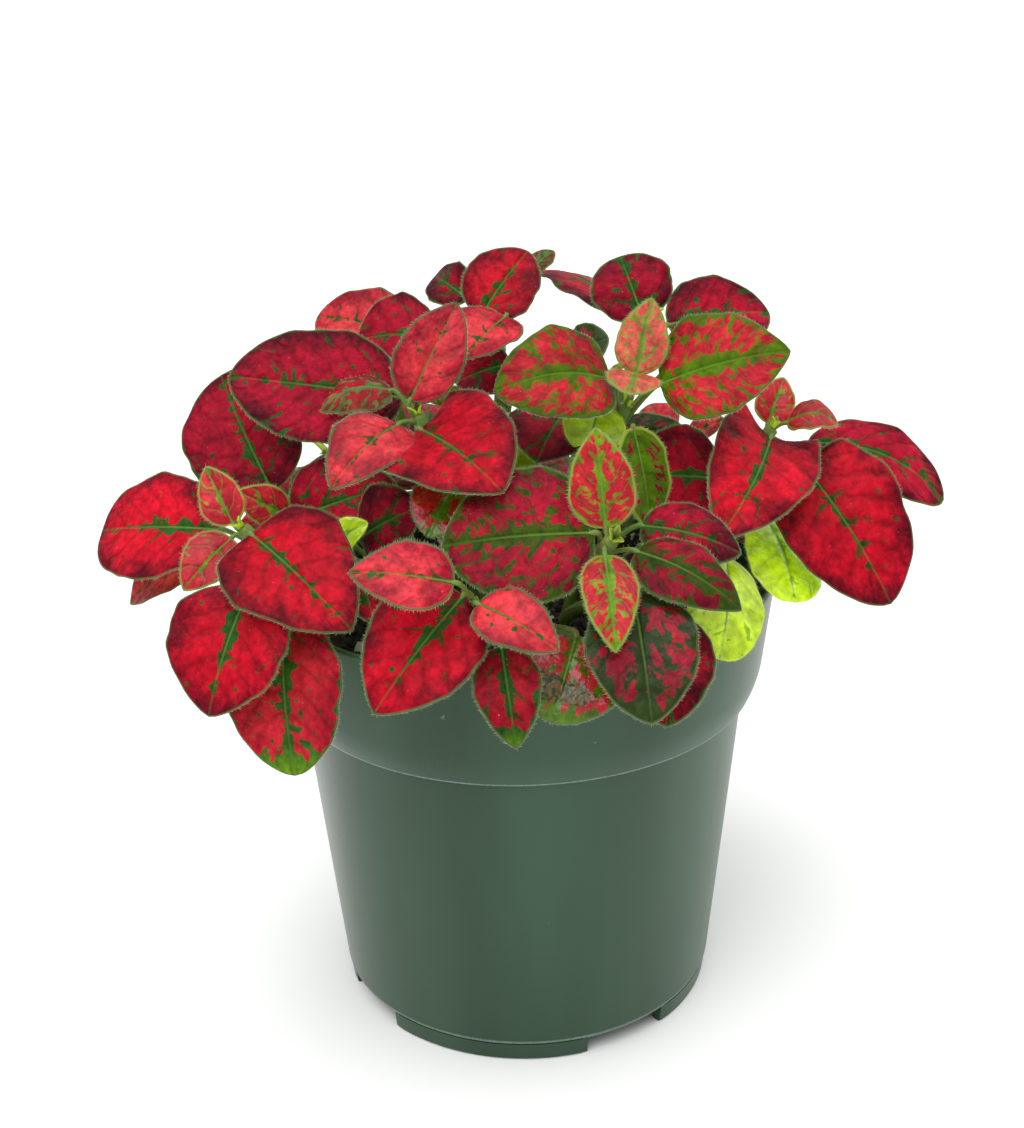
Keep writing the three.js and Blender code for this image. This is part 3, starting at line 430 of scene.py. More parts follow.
# How each kind of blade looks.  Colours are names from LeafSettings:
#   ground, shade              the red of the blade, and its darker red towards the margin
#   green, line, margin, back  broken green pattern, side veins, thin margin and underside
# Sizes are in millimetres:
#   midrib, band               half width of the green on the midrib, and how far it spreads beside it
#   stub                       longest green stub along a side vein
#   blotch                     middle size of a patch of the pattern
#   margin_green, margin_width how far green reaches in from the margin, and the margin's own width
# The rest are shares:
#   midrib_end                 where along the blade the midrib's green has run out
#   gap, soft                  level above which green breaks through the red (nearly nothing at 0.8,
#                              about half of the blade at 0.5), and the width of the brown between
#   stretch, follow            how slowly the pattern changes across the blade, and how far it runs
#                              along the side veins instead of straight across
#   specks, dots, lines        how many specks, how strong the hair dots and the vein lines
#   shading, relief            how far the margin darkens, and how strong the mottled painted light and shade is
#   tip_green, withered        how green the tip is, and the radius of a dry patch
#   roughness, gloss           the shader's own roughness and specular level
RED_BLADE = {
    "ground": "bright", "shade": "shade", "green": "vein", "line": "shade", "margin": "olive",
    "back": "lime", "midrib": 1.0, "midrib_end": 0.76, "stub": 8.5, "specks": 0.45, "gap": 0.69,
    "soft": 0.045, "band": 1.6, "blotch": 2.2, "stretch": 0.75, "follow": 0.7, "lines": 0.16,
    "margin_green": 0.3, "margin_width": 0.3, "shading": 0.85, "dots": 0.4, "tip_green": 0.0,
    "roughness": 0.4, "gloss": 0.07, "relief": 1.0, "withered": 0.0,
}
BLADE_LOOKS = {
    "red": RED_BLADE,
    "deep": RED_BLADE | {
        "ground": "deep", "midrib": 1.1, "specks": 0.5, "gap": 0.64, "shading": 0.97,
        "dots": 0.5, "roughness": 0.45, "margin_green": 0.8,
    },
    "young": RED_BLADE | {
        "ground": "pink", "shade": "deep", "line": "bright", "midrib": 0.4, "midrib_end": 0.6,
        "stub": 4.0, "specks": 0.4, "gap": 0.66, "shading": 1.0, "blotch": 1.4,
        "margin_width": 0.36, "roughness": 0.34, "band": 0.8, "gloss": 0.16,
    },
    "sprout": RED_BLADE | {
        "ground": "coral", "shade": "bright", "green": "moss", "line": "fresh", "margin": "fresh",
        "midrib": 0.4, "midrib_end": 0.95, "stub": 3.0, "gap": 0.64, "blotch": 1.2, "lines": 0.24,
        "margin_width": 0.34, "roughness": 0.36, "band": 0.8, "gloss": 0.25, "shading": 0.5,
    },
    "edge": RED_BLADE | {
        "ground": "coral", "shade": "deep", "midrib": 1.2, "midrib_end": 1.0, "stub": 6.0,
        "gap": 0.61, "soft": 0.07, "specks": 0.5, "tip_green": 1.0, "margin_green": 1.2,
        "dots": 0.9, "blotch": 1.8, "stretch": 0.9, "follow": 0.3,
    },
    "pale": RED_BLADE | {
        "ground": "rosy", "shade": "coral", "green": "fresh", "line": "fresh", "margin": "fresh",
        "midrib": 0.6, "midrib_end": 1.05, "stub": 1.5, "specks": 0.0, "gap": 0.535, "band": 1.4,
        "blotch": 1.05, "stretch": 0.8, "follow": 0.3, "lines": 0.2, "margin_green": 0.6,
        "margin_width": 0.36, "shading": 0.4, "roughness": 0.38, "gloss": 0.2, "soft": 0.08,
    },
    "fleck": RED_BLADE | {
        "ground": "coral", "shade": "bright", "green": "moss", "line": "fresh", "margin": "fresh",
        "midrib": 0.7, "midrib_end": 1.05, "stub": 2.0, "specks": 0.0, "gap": 0.545, "band": 1.4,
        "blotch": 1.15, "follow": 0.4, "lines": 0.15, "margin_green": 0.8, "margin_width": 0.36,
        "shading": 0.4, "roughness": 0.38, "gloss": 0.2, "soft": 0.1,
    },
    "green": RED_BLADE | {
        "ground": "coral", "shade": "deep", "green": "green", "line": "green", "midrib": 1.3,
        "midrib_end": 1.0, "stub": 4.0, "specks": 0.2, "gap": 0.512, "band": 2.8, "blotch": 1.5,
        "stretch": 0.74, "follow": 0.55, "lines": 0.2, "margin_green": 1.6, "shading": 0.75,
        "gloss": 0.08, "soft": 0.12,
    },
    # dim and dark: darker copies of the green-patterned looks, painted shade for leaves low in the plant
    # and under others.
    "dim": RED_BLADE | {
        "ground": "deep", "green": "dull_green", "line": "dull_green", "midrib": 1.3,
        "midrib_end": 1.0, "stub": 4.0, "specks": 0.2, "gap": 0.548, "band": 3.2, "blotch": 2.0,
        "stretch": 0.8, "follow": 0.4, "lines": 0.2, "margin_green": 1.2, "shading": 0.75,
        "gloss": 0.08, "soft": 0.08,
    },
    "dark": RED_BLADE | {
        "ground": "deep", "green": "dull_and_shade_green", "line": "dull_and_shade_green", "midrib": 1.8, "midrib_end": 1.0,
        "stub": 3.0, "gap": 0.51, "band": 3.4, "blotch": 2.1, "stretch": 0.95, "follow": 0.4,
        "lines": 0.3, "margin_green": 2.6, "specks": 0.0, "gloss": 0.2, "shading": 0.4,
    },
    "moss": RED_BLADE | {
        "ground": "deep", "green": "green", "line": "moss", "margin": "fresh", "midrib": 1.2,
        "midrib_end": 1.0, "stub": 3.0, "gap": 0.46, "band": 3.0, "blotch": 1.2, "stretch": 0.9,
        "follow": 0.3, "lines": 0.3, "margin_green": 2.0, "margin_width": 0.6, "specks": 0.0,
    },
    # lime shows an underside, its lightness partly painted light shining through the blade.
    "lime": RED_BLADE | {
        "ground": "lime", "shade": "leaf_shadow", "green": "leaf_shadow", "line": "leaf_shadow",
        "margin": "lime", "midrib": 0.5, "midrib_end": 0.9, "stub": 1.0, "specks": 0.25,
        "gap": 0.66, "band": 0.6, "lines": 0.2, "margin_green": 0.0, "shading": 0.3, "dots": 0.5,
        "roughness": 0.12, "gloss": 0.6, "relief": 0.7, "back": "bright",
    },
    "wet": RED_BLADE | {
        "shade": "deep", "green": "green", "midrib": 1.3, "gap": 0.56, "blotch": 1.8,
        "stretch": 0.9, "stub": 5.0, "specks": 0.5, "dots": 0.9, "roughness": 0.14, "gloss": 0.5,
        "tip_green": 0.8,
    },
    "curl": RED_BLADE | {
        "ground": "deep", "shade": "dull_and_shade_green", "green": "olive", "line": "olive", "gap": 0.56,
        "midrib": 0.6, "shading": 0.6, "blotch": 1.6,
    },
}
BLADE_LOOKS["withered"] = BLADE_LOOKS["wet"] | {
    "ground": "coral", "shade": "bright", "tip_green": 1.3, "margin_green": 2.0, "withered": 0.14,
}
# Spots are strewn one to a cell.  SIZE is a cell's size in millimetres, and CELLS the cells to a
# millimetre; CHANCE is the draw below which a cell has no spot; RADII are the least and greatest
# radius and ROUGH is how uneven the edge is, as shares of a cell.
SPECK_SIZE = 1.9
SPECK_RADII = (-0.12, 0.34)
SPECK_ROUGH = 0.2
DOT_SIZE = 0.75
DOT_CHANCE = 0.8
DOT_RADII = (-0.05, 0.16)
DUST_CELLS = 0.14
DUST_CHANCE = 0.74
DUST_RADII = (-0.01, 0.09)
DUST_ROUGH = 0.05
# Sizes of the noises in millimetres, and how far the veins stray as a share of their spacing.
CLOUD_SIZE = 9.0
RAGGED_SIZE = 1.0
SKIN_GRAIN = 0.28
PUCKER_SIZE = 2.3
WANDER_SIZE = 4.0
VEIN_STRAY = 0.16
# Two blades never share a stretch of noise: each reads its own layer.
LAYER_STEP = 400.0
HAIR_DOT = (0.9, 0.45, 0.42, 1.0)
SKIN_RELIEF = 0.16
LEAF_IOR = 1.45
PLASTIC_IOR = 1.49
# The dry patch: its place as shares along and across, its shape, and how rough its edge is.
DRY_AT = (0.66, 0.25)
DRY_NARROWNESS = 0.36
DRY_ROUGH = 0.04


def swayed(tree, value, noise, sway):
    """A value moved up and down by a noise, by as much as sway either way."""
    drift = add(tree, "ShaderNodeMapRange",
                {0: noise, 1: 0.3, 2: 0.7, 3: -sway, 4: sway}).outputs[0]
    return add(tree, "ShaderNodeMath", {0: value, 1: drift}, operation="ADD").outputs[0]


def past_spot(tree, place, cells, chance, radii, channel=0):
    """How far a place lies past the edge of the nearest of many strewn round spots.

    There are as many spots as cells to a millimetre.  A cell that draws less than chance has none,
    and the radius of the others grows with the draw; both are shares of a cell.
    """
    cell = add(tree, "ShaderNodeTexVoronoi", {"Vector": place, "Scale": cells})
    draw = add(tree, "ShaderNodeSeparateColor", {0: cell.outputs["Color"]}).outputs[channel]
    radius = add(tree, "ShaderNodeMapRange",
                 {0: draw, 1: chance, 3: radii[0], 4: radii[1]}).outputs[0]
    return add(tree, "ShaderNodeMath", {0: cell.outputs["Distance"], 1: radius},
               operation="SUBTRACT").outputs[0]


def blade_place(tree, look):
    """Where a point lies on its blade and what the noises are there: sockets by name.

    Attributes carry the place: leaf_place is (along, across, distance to the margin) in millimetres,
    leaf_share is (share along, share across, vein number) and leaf_mark is
    (seed, upper side 1 or underside -1, millimetres between veins).
    """
    at = SimpleNamespace()
    for attribute, names in (("leaf_place", ("along", "across", "margin")),
                             ("leaf_share", ("u", "v", "vein")),
                             ("leaf_mark", ("seed", "side", "spacing"))):
        vector = add(tree, "ShaderNodeAttribute", attribute_name=attribute).outputs["Vector"]
        for name, value in zip(names, add(tree, "ShaderNodeSeparateXYZ", {0: vector}).outputs):
            setattr(at, name, value)
    at.aside = add(tree, "ShaderNodeMath", {0: at.across}, operation="ABSOLUTE").outputs[0]
    at.layer = add(tree, "ShaderNodeMath", {0: at.seed, 1: LAYER_STEP},
                   operation="MULTIPLY").outputs[0]
    flat = add(tree, "ShaderNodeCombineXYZ", {0: at.along, 1: at.across, 2: at.layer}).outputs[0]
    at.flat = flat
    for name, size, detail in (
            ("wander", WANDER_SIZE, 1.0), ("ragged", RAGGED_SIZE, 2.0), ("cloud", CLOUD_SIZE, 2.0),
            ("grain", SKIN_GRAIN, 1.0), ("pucker", PUCKER_SIZE, 2.0)):
        setattr(at, name, add(tree, "ShaderNodeTexNoise", {
            "Vector": flat, "Scale": 1 / size, "Detail": detail}).outputs[0])
    at.vein = swayed(tree, at.vein, at.wander, VEIN_STRAY)
    vein_gap = add(tree, "ShaderNodeMath", {0: at.vein, 1: 0.5}, operation="PINGPONG").outputs[0]
    at.vein_gap = add(tree, "ShaderNodeMath", {0: vein_gap, 1: at.spacing},
                      operation="MULTIPLY").outputs[0]
    at.line = add(tree, "ShaderNodeMapRange",
                  {0: at.vein_gap, 1: 0.05, 2: 0.3, 3: look["lines"], 4: 0.0}).outputs[0]
    at.uneven = add(tree, "ShaderNodeMapRange", {0: at.ragged, 1: 0.32, 2: 0.68, 4: 2.1}).outputs[0]

    # The pattern's own noise is drawn out along the side veins.
    vein_way = add(tree, "ShaderNodeMath", {0: at.vein, 1: at.spacing},
                   operation="MULTIPLY").outputs[0]
    veined = add(tree, "ShaderNodeMix", {0: look["follow"], 2: at.along, 3: vein_way}).outputs[0]
    slow = add(tree, "ShaderNodeMath", {0: at.across, 1: look["stretch"]},
               operation="MULTIPLY").outputs[0]
    drawn = add(tree, "ShaderNodeCombineXYZ", {0: veined, 1: slow, 2: at.layer}).outputs[0]
    at.field = add(tree, "ShaderNodeTexNoise", {
        "Vector": drawn, "Scale": 1 / look["blotch"], "Detail": 1.8, "Roughness": 0.55,
        "Distortion": 0.25}).outputs[0]
    return at


def rib_green(tree, at, look):
    """Green along the midrib: ragged, narrow at the stalk and thinning out towards the tip."""
    end = look["midrib_end"]
    width = add(tree, "ShaderNodeMapRange",
                {0: at.u, 1: end * 0.4, 2: end, 3: look["midrib"], 4: 0.0}).outputs[0]
    start = add(tree, "ShaderNodeMapRange", {0: at.u, 2: 0.35, 3: 0.45, 4: 1.0}).outputs[0]
    own = add(tree, "ShaderNodeMapRange", {0: at.seed, 3: 0.8, 4: 1.6}).outputs[0]
    swell = add(tree, "ShaderNodeMapRange", {0: at.pucker, 1: 0.4, 2: 0.66, 3: -0.1, 4: 2.5}).outputs[0]
    swell = add(tree, "ShaderNodeMix", {0: 0.3, 2: swell, 3: at.uneven}).outputs[0]
    for factor in (start, own, swell):
        width = add(tree, "ShaderNodeMath", {0: width, 1: factor}, operation="MULTIPLY").outputs[0]
    beyond = add(tree, "ShaderNodeMath", {0: at.aside, 1: width}, operation="SUBTRACT").outputs[0]
    return add(tree, "ShaderNodeMapRange", {0: beyond, 1: 0.0, 2: -0.22}).outputs[0]


def stub_green(tree, at, look):
    """Short stubs of green along the side veins, each of its own reach."""
    number = add(tree, "ShaderNodeMath", {0: at.vein}, operation="ROUND").outputs[0]
    hand = add(tree, "ShaderNodeMath", {0: at.across}, operation="SIGN").outputs[0]
    own = add(tree, "ShaderNodeCombineXYZ", {0: number, 1: hand, 2: at.layer}).outputs[0]
    own = add(tree, "ShaderNodeTexWhiteNoise", {"Vector": own}).outputs[0]
    reach = add(tree, "ShaderNodeMapRange", {0: own, 1: 0.4, 3: 0.01, 4: look["stub"]}).outputs[0]
    along = add(tree, "ShaderNodeMath", {0: at.aside, 1: reach}, operation="DIVIDE").outputs[0]
    width = add(tree, "ShaderNodeMapRange", {0: along, 3: 0.9, 4: -0.2}).outputs[0]
    width = add(tree, "ShaderNodeMath", {0: width, 1: at.uneven}, operation="MULTIPLY").outputs[0]
    beyond = add(tree, "ShaderNodeMath", {0: at.vein_gap, 1: width}, operation="SUBTRACT").outputs[0]
    stub = add(tree, "ShaderNodeMapRange", {0: beyond, 1: 0.0, 2: -0.2}).outputs[0]
    body = add(tree, "ShaderNodeMapRange", {0: at.u, 1: 0.72, 2: 0.82, 3: 1.0, 4: 0.0}).outputs[0]
    return add(tree, "ShaderNodeMath", {0: stub, 1: body}, operation="MULTIPLY").outputs[0]


def speck_green(tree, at, look):
    """Specks of green, in loose clusters."""
    beyond = past_spot(tree, at.flat, 1 / SPECK_SIZE, 1.0 - look["specks"], SPECK_RADII)
    beyond = swayed(tree, beyond, at.ragged, SPECK_ROUGH)
    speck = add(tree, "ShaderNodeMapRange", {0: beyond, 1: 0.0, 2: -0.09}).outputs[0]
    cluster = add(tree, "ShaderNodeMapRange", {0: at.cloud, 1: 0.44, 2: 0.54}).outputs[0]
    return add(tree, "ShaderNodeMath", {0: speck, 1: cluster}, operation="MULTIPLY").outputs[0]


def gap_green(tree, at, look):
    """Gaps between the red blotches, helped along by the midrib, the margin and the tip."""
    level = at.field
    for source, start, end, first, last in (
            (at.aside, 0.0, look["band"], 0.16, 0.0),
            (at.margin, 0.0, max(look["margin_green"], 0.01), 0.22, 0.0),
            (at.u, 0.76, 0.97, 0.0, 0.3 * look["tip_green"])):
        lift = add(tree, "ShaderNodeMapRange",
                   {0: source, 1: start, 2: end, 3: first, 4: last}).outputs[0]
        level = add(tree, "ShaderNodeMath", {0: level, 1: lift}, operation="ADD").outputs[0]
    return add(tree, "ShaderNodeMapRange",
               {0: level, 1: look["gap"], 2: look["gap"] + look["soft"]}).outputs[0]


def blade_mottle_and_shade(tree, at, look):
    """How light each place is: painted light and shade on puckers, vein creases, fine grain; broad clouds.
    """
    mottle_and_shade = 1.0
    # Puckers and fine grain: painted light and shade; vein gap: painted shade in the creases; clouds:
    # random tone.
    for source, low, high, dark, light, ease in (
            (at.pucker, 0.32, 0.68, 0.78, 1.22, "LINEAR"),
            (at.cloud, 0.34, 0.66, 0.8, 1.18, "LINEAR"),
            (at.vein_gap, 0.0, 1.3, 0.8, 1.04, "SMOOTHSTEP"),
            (at.ragged, 0.3, 0.7, 0.84, 1.18, "LINEAR")):
        part = add(tree, "ShaderNodeMapRange", {0: source, 1: low, 2: high, 3: dark, 4: light},
                   interpolation_type=ease).outputs[0]
        mottle_and_shade = add(tree, "ShaderNodeMath", {0: mottle_and_shade, 1: part}, operation="MULTIPLY").outputs[0]
    return add(tree, "ShaderNodeMix", {0: look["relief"], 2: 1.0, 3: mottle_and_shade}).outputs[0]


def red_ground(tree, at, look, tone, mottle_and_shade):
    """Red cells: darker to the margin, with painted light and shade, vein lines and the feet of short
    hairs.
    """
    inward = at.margin
    for noise, sway in ((at.cloud, 2.2), (at.ragged, 0.8)):
        inward = swayed(tree, inward, noise, sway)
    shade = add(tree, "ShaderNodeMapRange",
                {0: inward, 1: -1.5, 2: 5.4, 3: look["shading"], 4: 0.0},
                interpolation_type="SMOOTHSTEP").outputs[0]
    red = add(tree, "ShaderNodeMix", {0: shade, 6: tone["ground"], 7: tone["shade"]},
              data_type="RGBA").outputs[2]
    # Painted light and shade of the puckers and vein creases darkens and lightens the red.
    red = add(tree, "ShaderNodeMix", {0: 1.0, 6: red, 7: mottle_and_shade},
              data_type="RGBA", blend_type="MULTIPLY").outputs[2]
    red = add(tree, "ShaderNodeMix", {0: at.line, 6: red, 7: tone["line"]},
              data_type="RGBA").outputs[2]
    beyond = past_spot(tree, at.flat, 1 / DOT_SIZE, DOT_CHANCE, DOT_RADII, 1)
    dots = add(tree, "ShaderNodeMapRange", {0: beyond, 1: 0.0, 2: -0.08, 4: look["dots"]}).outputs[0]
    return add(tree, "ShaderNodeMix", {0: dots, 6: red, 7: HAIR_DOT}, data_type="RGBA").outputs[2]


def withered_skin(tree, at, skin, size, colours):
    """A dry patch beside the midrib, tan inside a dark rim, where the blade has died back."""
    ahead = add(tree, "ShaderNodeMath", {0: at.u, 1: DRY_AT[0]}, operation="SUBTRACT").outputs[0]
    aside = add(tree, "ShaderNodeMath", {0: at.v, 1: DRY_AT[1]}, operation="SUBTRACT").outputs[0]
    aside = add(tree, "ShaderNodeMath", {0: aside, 1: DRY_NARROWNESS},
                operation="MULTIPLY").outputs[0]
    spot = add(tree, "ShaderNodeCombineXYZ", {0: ahead, 1: aside}).outputs[0]
    reach = add(tree, "ShaderNodeVectorMath", {0: spot}, operation="LENGTH").outputs["Value"]
    reach = swayed(tree, reach, at.ragged, DRY_ROUGH)
    dead = add(tree, "ShaderNodeMapRange", {0: reach, 1: size * 0.75, 2: size * 0.6}).outputs[0]
    rim = add(tree, "ShaderNodeMapRange", {0: reach, 1: size, 2: size * 0.8}).outputs[0]
    streak = add(tree, "ShaderNodeMapRange", {0: at.ragged, 1: 0.4, 2: 0.62}).outputs[0]
    tan = add(tree, "ShaderNodeMix", {0: streak, 6: rgba(colours.withered), 7: rgba(colours.dull_and_shade_green)},
              data_type="RGBA").outputs[2]
    skin = add(tree, "ShaderNodeMix", {0: rim, 6: skin, 7: rgba(colours.dull_and_shade_green)},
               data_type="RGBA").outputs[2]
    return add(tree, "ShaderNodeMix", {0: dead, 6: skin, 7: tan}, data_type="RGBA").outputs[2]


def upper_skin(tree, at, look, tone, colours):
    """Upper side: green pattern over the red ground, a pale midrib and a thin margin."""
    mottle_and_shade = blade_mottle_and_shade(tree, at, look)
    red = red_ground(tree, at, look, tone, mottle_and_shade)
    pattern = rib_green(tree, at, look)
    for marks in (stub_green, speck_green, gap_green):
        pattern = add(tree, "ShaderNodeMath", {0: pattern, 1: marks(tree, at, look)},
                      operation="MAXIMUM").outputs[0]
    tip = add(tree, "ShaderNodeMapRange",
              {0: at.u, 1: 0.8, 2: 0.98, 4: 0.8 * look["tip_green"]}).outputs[0]
    green = add(tree, "ShaderNodeMix", {0: tip, 6: tone["green"], 7: rgba(colours.moss)},
                data_type="RGBA").outputs[2]
    # The green takes the same painted light and shade.
    green = add(tree, "ShaderNodeMix", {0: 1.0, 6: green, 7: mottle_and_shade},
                data_type="RGBA", blend_type="MULTIPLY").outputs[2]
    skin = add(tree, "ShaderNodeMix", {0: pattern, 6: red, 7: green}, data_type="RGBA").outputs[2]
    rib_line = add(tree, "ShaderNodeMapRange", {0: at.aside, 1: 0.15, 2: 0.36, 3: 0.75, 4: 0.0}).outputs[0]
    fading = add(tree, "ShaderNodeMapRange", {0: at.u, 1: 0.15, 2: 0.85, 3: 1.0, 4: 0.2}).outputs[0]
    rib_line = add(tree, "ShaderNodeMath", {0: rib_line, 1: fading}, operation="MULTIPLY").outputs[0]
    skin = add(tree, "ShaderNodeMix", {0: rib_line, 6: skin, 7: rgba(colours.stalk)},
               data_type="RGBA").outputs[2]
    if look["withered"]:
        skin = withered_skin(tree, at, skin, look["withered"], colours)
    width = look["margin_width"]
    rim = add(tree, "ShaderNodeMapRange",
              {0: at.margin, 1: width * 0.6, 2: width * 1.3, 3: 0.9, 4: 0.0}).outputs[0]
    return add(tree, "ShaderNodeMix", {0: rim, 6: skin, 7: tone["margin"]},
               data_type="RGBA").outputs[2]


def under_skin(tree, at, back):
    """Underside: one plain colour with pale veins, and the pattern of the upper side showing through."""
    through = add(tree, "ShaderNodeMapRange", {0: at.field, 1: 0.42, 2: 0.6, 4: 0.35}).outputs[0]
    shaded = rgba([c * 0.45 for c in back])
    veins = rgba([c + (1 - c) * 0.25 for c in back])
    skin = add(tree, "ShaderNodeMix", {0: through, 6: back, 7: shaded}, data_type="RGBA").outputs[2]
    return add(tree, "ShaderNodeMix", {0: at.line, 6: skin, 7: veins}, data_type="RGBA").outputs[2]


def blade_relief(tree, at):
    """Sunken midrib and side veins, puckers between them and the fine grain of the skin."""
    height = add(tree, "ShaderNodeMapRange", {0: at.aside, 2: 0.7},
                 interpolation_type="SMOOTHSTEP").outputs[0]
    groove = add(tree, "ShaderNodeMapRange", {0: at.vein_gap, 2: 0.9},
                 interpolation_type="SMOOTHSTEP").outputs[0]
    for source, weight in ((groove, 0.5), (at.grain, 0.5), (at.pucker, 4.0)):
        height = add(tree, "ShaderNodeMath", {0: source, 1: weight, 2: height},
                     operation="MULTIPLY_ADD").outputs[0]
    return add(tree, "ShaderNodeBump", {
        "Strength": 0.8, "Distance": SKIN_RELIEF * MM, "Height": height}).outputs[0]


def blade_material(kind, look, colours):
    """Living leaf: a thin waxy skin over coloured cells, seen as a satin red or green with short down."""
    material, tree, shader = new_material("leaf_" + kind)
    tone = {name: rgba(getattr(colours, look[name]))
            for name in ("ground", "shade", "green", "line", "margin", "back")}
    at = blade_place(tree, look)
    upper = add(tree, "ShaderNodeMapRange", {0: at.side, 1: -0.15, 2: 0.15}).outputs[0]
    skin = add(tree, "ShaderNodeMix", {
        0: upper, 6: under_skin(tree, at, tone["back"]),
        7: upper_skin(tree, at, look, tone, colours)}, data_type="RGBA").outputs[2]
    own = add(tree, "ShaderNodeMapRange", {0: at.seed, 3: 0.86, 4: 1.12}).outputs[0]
    skin = add(tree, "ShaderNodeMix", {0: 1.0, 6: skin, 7: own},
               data_type="RGBA", blend_type="MULTIPLY").outputs[2]
    rough = add(tree, "ShaderNodeMapRange", {
        0: at.grain, 1: 0.3, 2: 0.7, 3: look["roughness"] * 0.85,
        4: look["roughness"] * 1.2}).outputs[0]
    plug(tree, shader, {
        "Base Color": skin, "Normal": blade_relief(tree, at), "Roughness": rough,
        "IOR": LEAF_IOR, "Specular IOR Level": look["gloss"]})
    return material


def stalk_material(colours):
    """Living stem: round and waxy, yellow-green with a red flush, finely ribbed along its length."""
    material, tree, shader = new_material("stem_skin")
    place = add(tree, "ShaderNodeAttribute", attribute_name="stem_place").outputs["Vector"]
    drawn = add(tree, "ShaderNodeVectorMath", {0: place, 1: (0.22, 2.2, 1.0)},
                operation="MULTIPLY").outputs[0]
    flush = add(tree, "ShaderNodeTexNoise", {"Vector": drawn, "Scale": 0.9, "Detail": 3.0}).outputs[0]
    flushed = add(tree, "ShaderNodeMapRange", {0: flush, 1: 0.45, 2: 0.7, 4: 0.45}).outputs[0]
    skin = add(tree, "ShaderNodeMix", {0: flushed, 6: rgba(colours.stalk), 7: rgba(colours.deep)},
               data_type="RGBA").outputs[2]
    ribs = add(tree, "ShaderNodeTexNoise", {"Vector": drawn, "Scale": 3.0, "Detail": 2.0}).outputs[0]
    bump = add(tree, "ShaderNodeBump",
               {"Strength": 0.6, "Distance": 0.12 * MM, "Height": ribs}).outputs[0]
    plug(tree, shader, {"Base Color": skin, "Normal": bump, "Roughness": 0.42,
                        "Specular IOR Level": 0.3})
    return material


def down_material(colours):
    """Plant hair: fine dry hollow cells, seen as a pale matt fringe."""
    material, tree, shader = new_material("leaf_down")
    place = add(tree, "ShaderNodeTexCoord").outputs["Object"]
    tufts = add(tree, "ShaderNodeTexNoise", {"Vector": place, "Scale": 0.25 / MM}).outputs[0]
    dusk = rgba([c * 0.55 for c in colours.down])
    skin = add(tree, "ShaderNodeMix", {0: tufts, 6: rgba(colours.down), 7: dusk},
               data_type="RGBA").outputs[2]
    plug(tree, shader, {"Base Color": skin, "Roughness": 0.6})
    return material


def place_in_mm(tree):
    """The piece's own coordinates in millimetres."""
    place = add(tree, "ShaderNodeTexCoord").outputs["Object"]
    return add(tree, "ShaderNodeVectorMath", {0: place, "Scale": 1 / MM}, operation="SCALE").outputs[0]


def plastic_material(look):
    """Injection-moulded polypropylene: dull waxy gloss, flow marks, specks, fine scuffs, painted
    highlights.
    """
    material, tree, shader = new_material("moulded_polypropylene")
    in_mm = place_in_mm(tree)
    flow = add(tree, "ShaderNodeMapping", {"Vector": in_mm, "Scale": (1.0, 1.0, 0.12)}).outputs[0]
    broad = add(tree, "ShaderNodeTexNoise", {"Vector": flow, "Scale": 0.035, "Detail": 3.0}).outputs[0]
    fine = add(tree, "ShaderNodeTexNoise", {"Vector": in_mm, "Scale": 2.2, "Detail": 3.0}).outputs[0]
    lighter = rgba([min(1.0, c * 1.22 + 0.004) for c in look.plastic])
    darker = rgba([c * 0.84 for c in look.plastic])
    tone = add(tree, "ShaderNodeMapRange", {0: broad, 1: 0.35, 2: 0.65}).outputs[0]
    skin = add(tree, "ShaderNodeMix", {0: tone, 6: darker, 7: lighter}, data_type="RGBA").outputs[2]

    # Specks of dust and short pale scuffs.
    beyond = past_spot(tree, in_mm, DUST_CELLS, DUST_CHANCE, DUST_RADII)
    beyond = swayed(tree, beyond, fine, DUST_ROUGH)
    dust = add(tree, "ShaderNodeMapRange", {0: beyond, 1: 0.0, 2: -0.03, 4: 0.6}).outputs[0]

    # Painted highlights where light catches the foot of the band, the edge above the feet and the lip.
    worn = add(tree, "ShaderNodeAttribute", attribute_name="worn").outputs["Fac"]
    patchy = add(tree, "ShaderNodeMapRange", {0: fine, 1: 0.35, 2: 0.6, 3: 0.25, 4: 0.75}).outputs[0]
    worn = add(tree, "ShaderNodeMath", {0: worn, 1: patchy}, operation="MULTIPLY").outputs[0]
    for marks in (dust, worn):
        skin = add(tree, "ShaderNodeMix", {0: marks, 6: skin, 7: rgba(look.line)},
                   data_type="RGBA").outputs[2]

    bump = add(tree, "ShaderNodeBump",
               {"Strength": 0.35, "Distance": 0.02 * MM, "Height": fine}).outputs[0]
    rough = add(tree, "ShaderNodeMapRange", {0: broad, 1: 0.3, 2: 0.7, 3: 0.27, 4: 0.36}).outputs[0]
    plug(tree, shader, {"Base Color": skin, "Normal": bump, "Roughness": rough,
                        "IOR": PLASTIC_IOR, "Specular IOR Level": 0.3})
    return material


def earth_material(name, base, other, grain_size):
    """Damp potting soil: peat fibre and bark, seen as near-black crumbs that scatter what light comes."""
    material, tree, shader = new_material(name)
    clod = add(tree, "ShaderNodeTexNoise", {
        "Vector": place_in_mm(tree), "Scale": 1 / grain_size, "Detail": 5.0,
        "Roughness": 0.7}).outputs[0]
    tone = add(tree, "ShaderNodeMapRange", {0: clod, 1: 0.35, 2: 0.7}).outputs[0]
    skin = add(tree, "ShaderNodeMix", {0: tone, 6: rgba(base), 7: rgba(other)},
               data_type="RGBA").outputs[2]
    bump = add(tree, "ShaderNodeBump",
               {"Strength": 0.9, "Distance": 0.4 * MM, "Height": clod}).outputs[0]
    plug(tree, shader, {"Base Color": skin, "Normal": bump, "Roughness": 0.85})
    return material


# ----------------------------------------------------------------------------------- leaves, stems

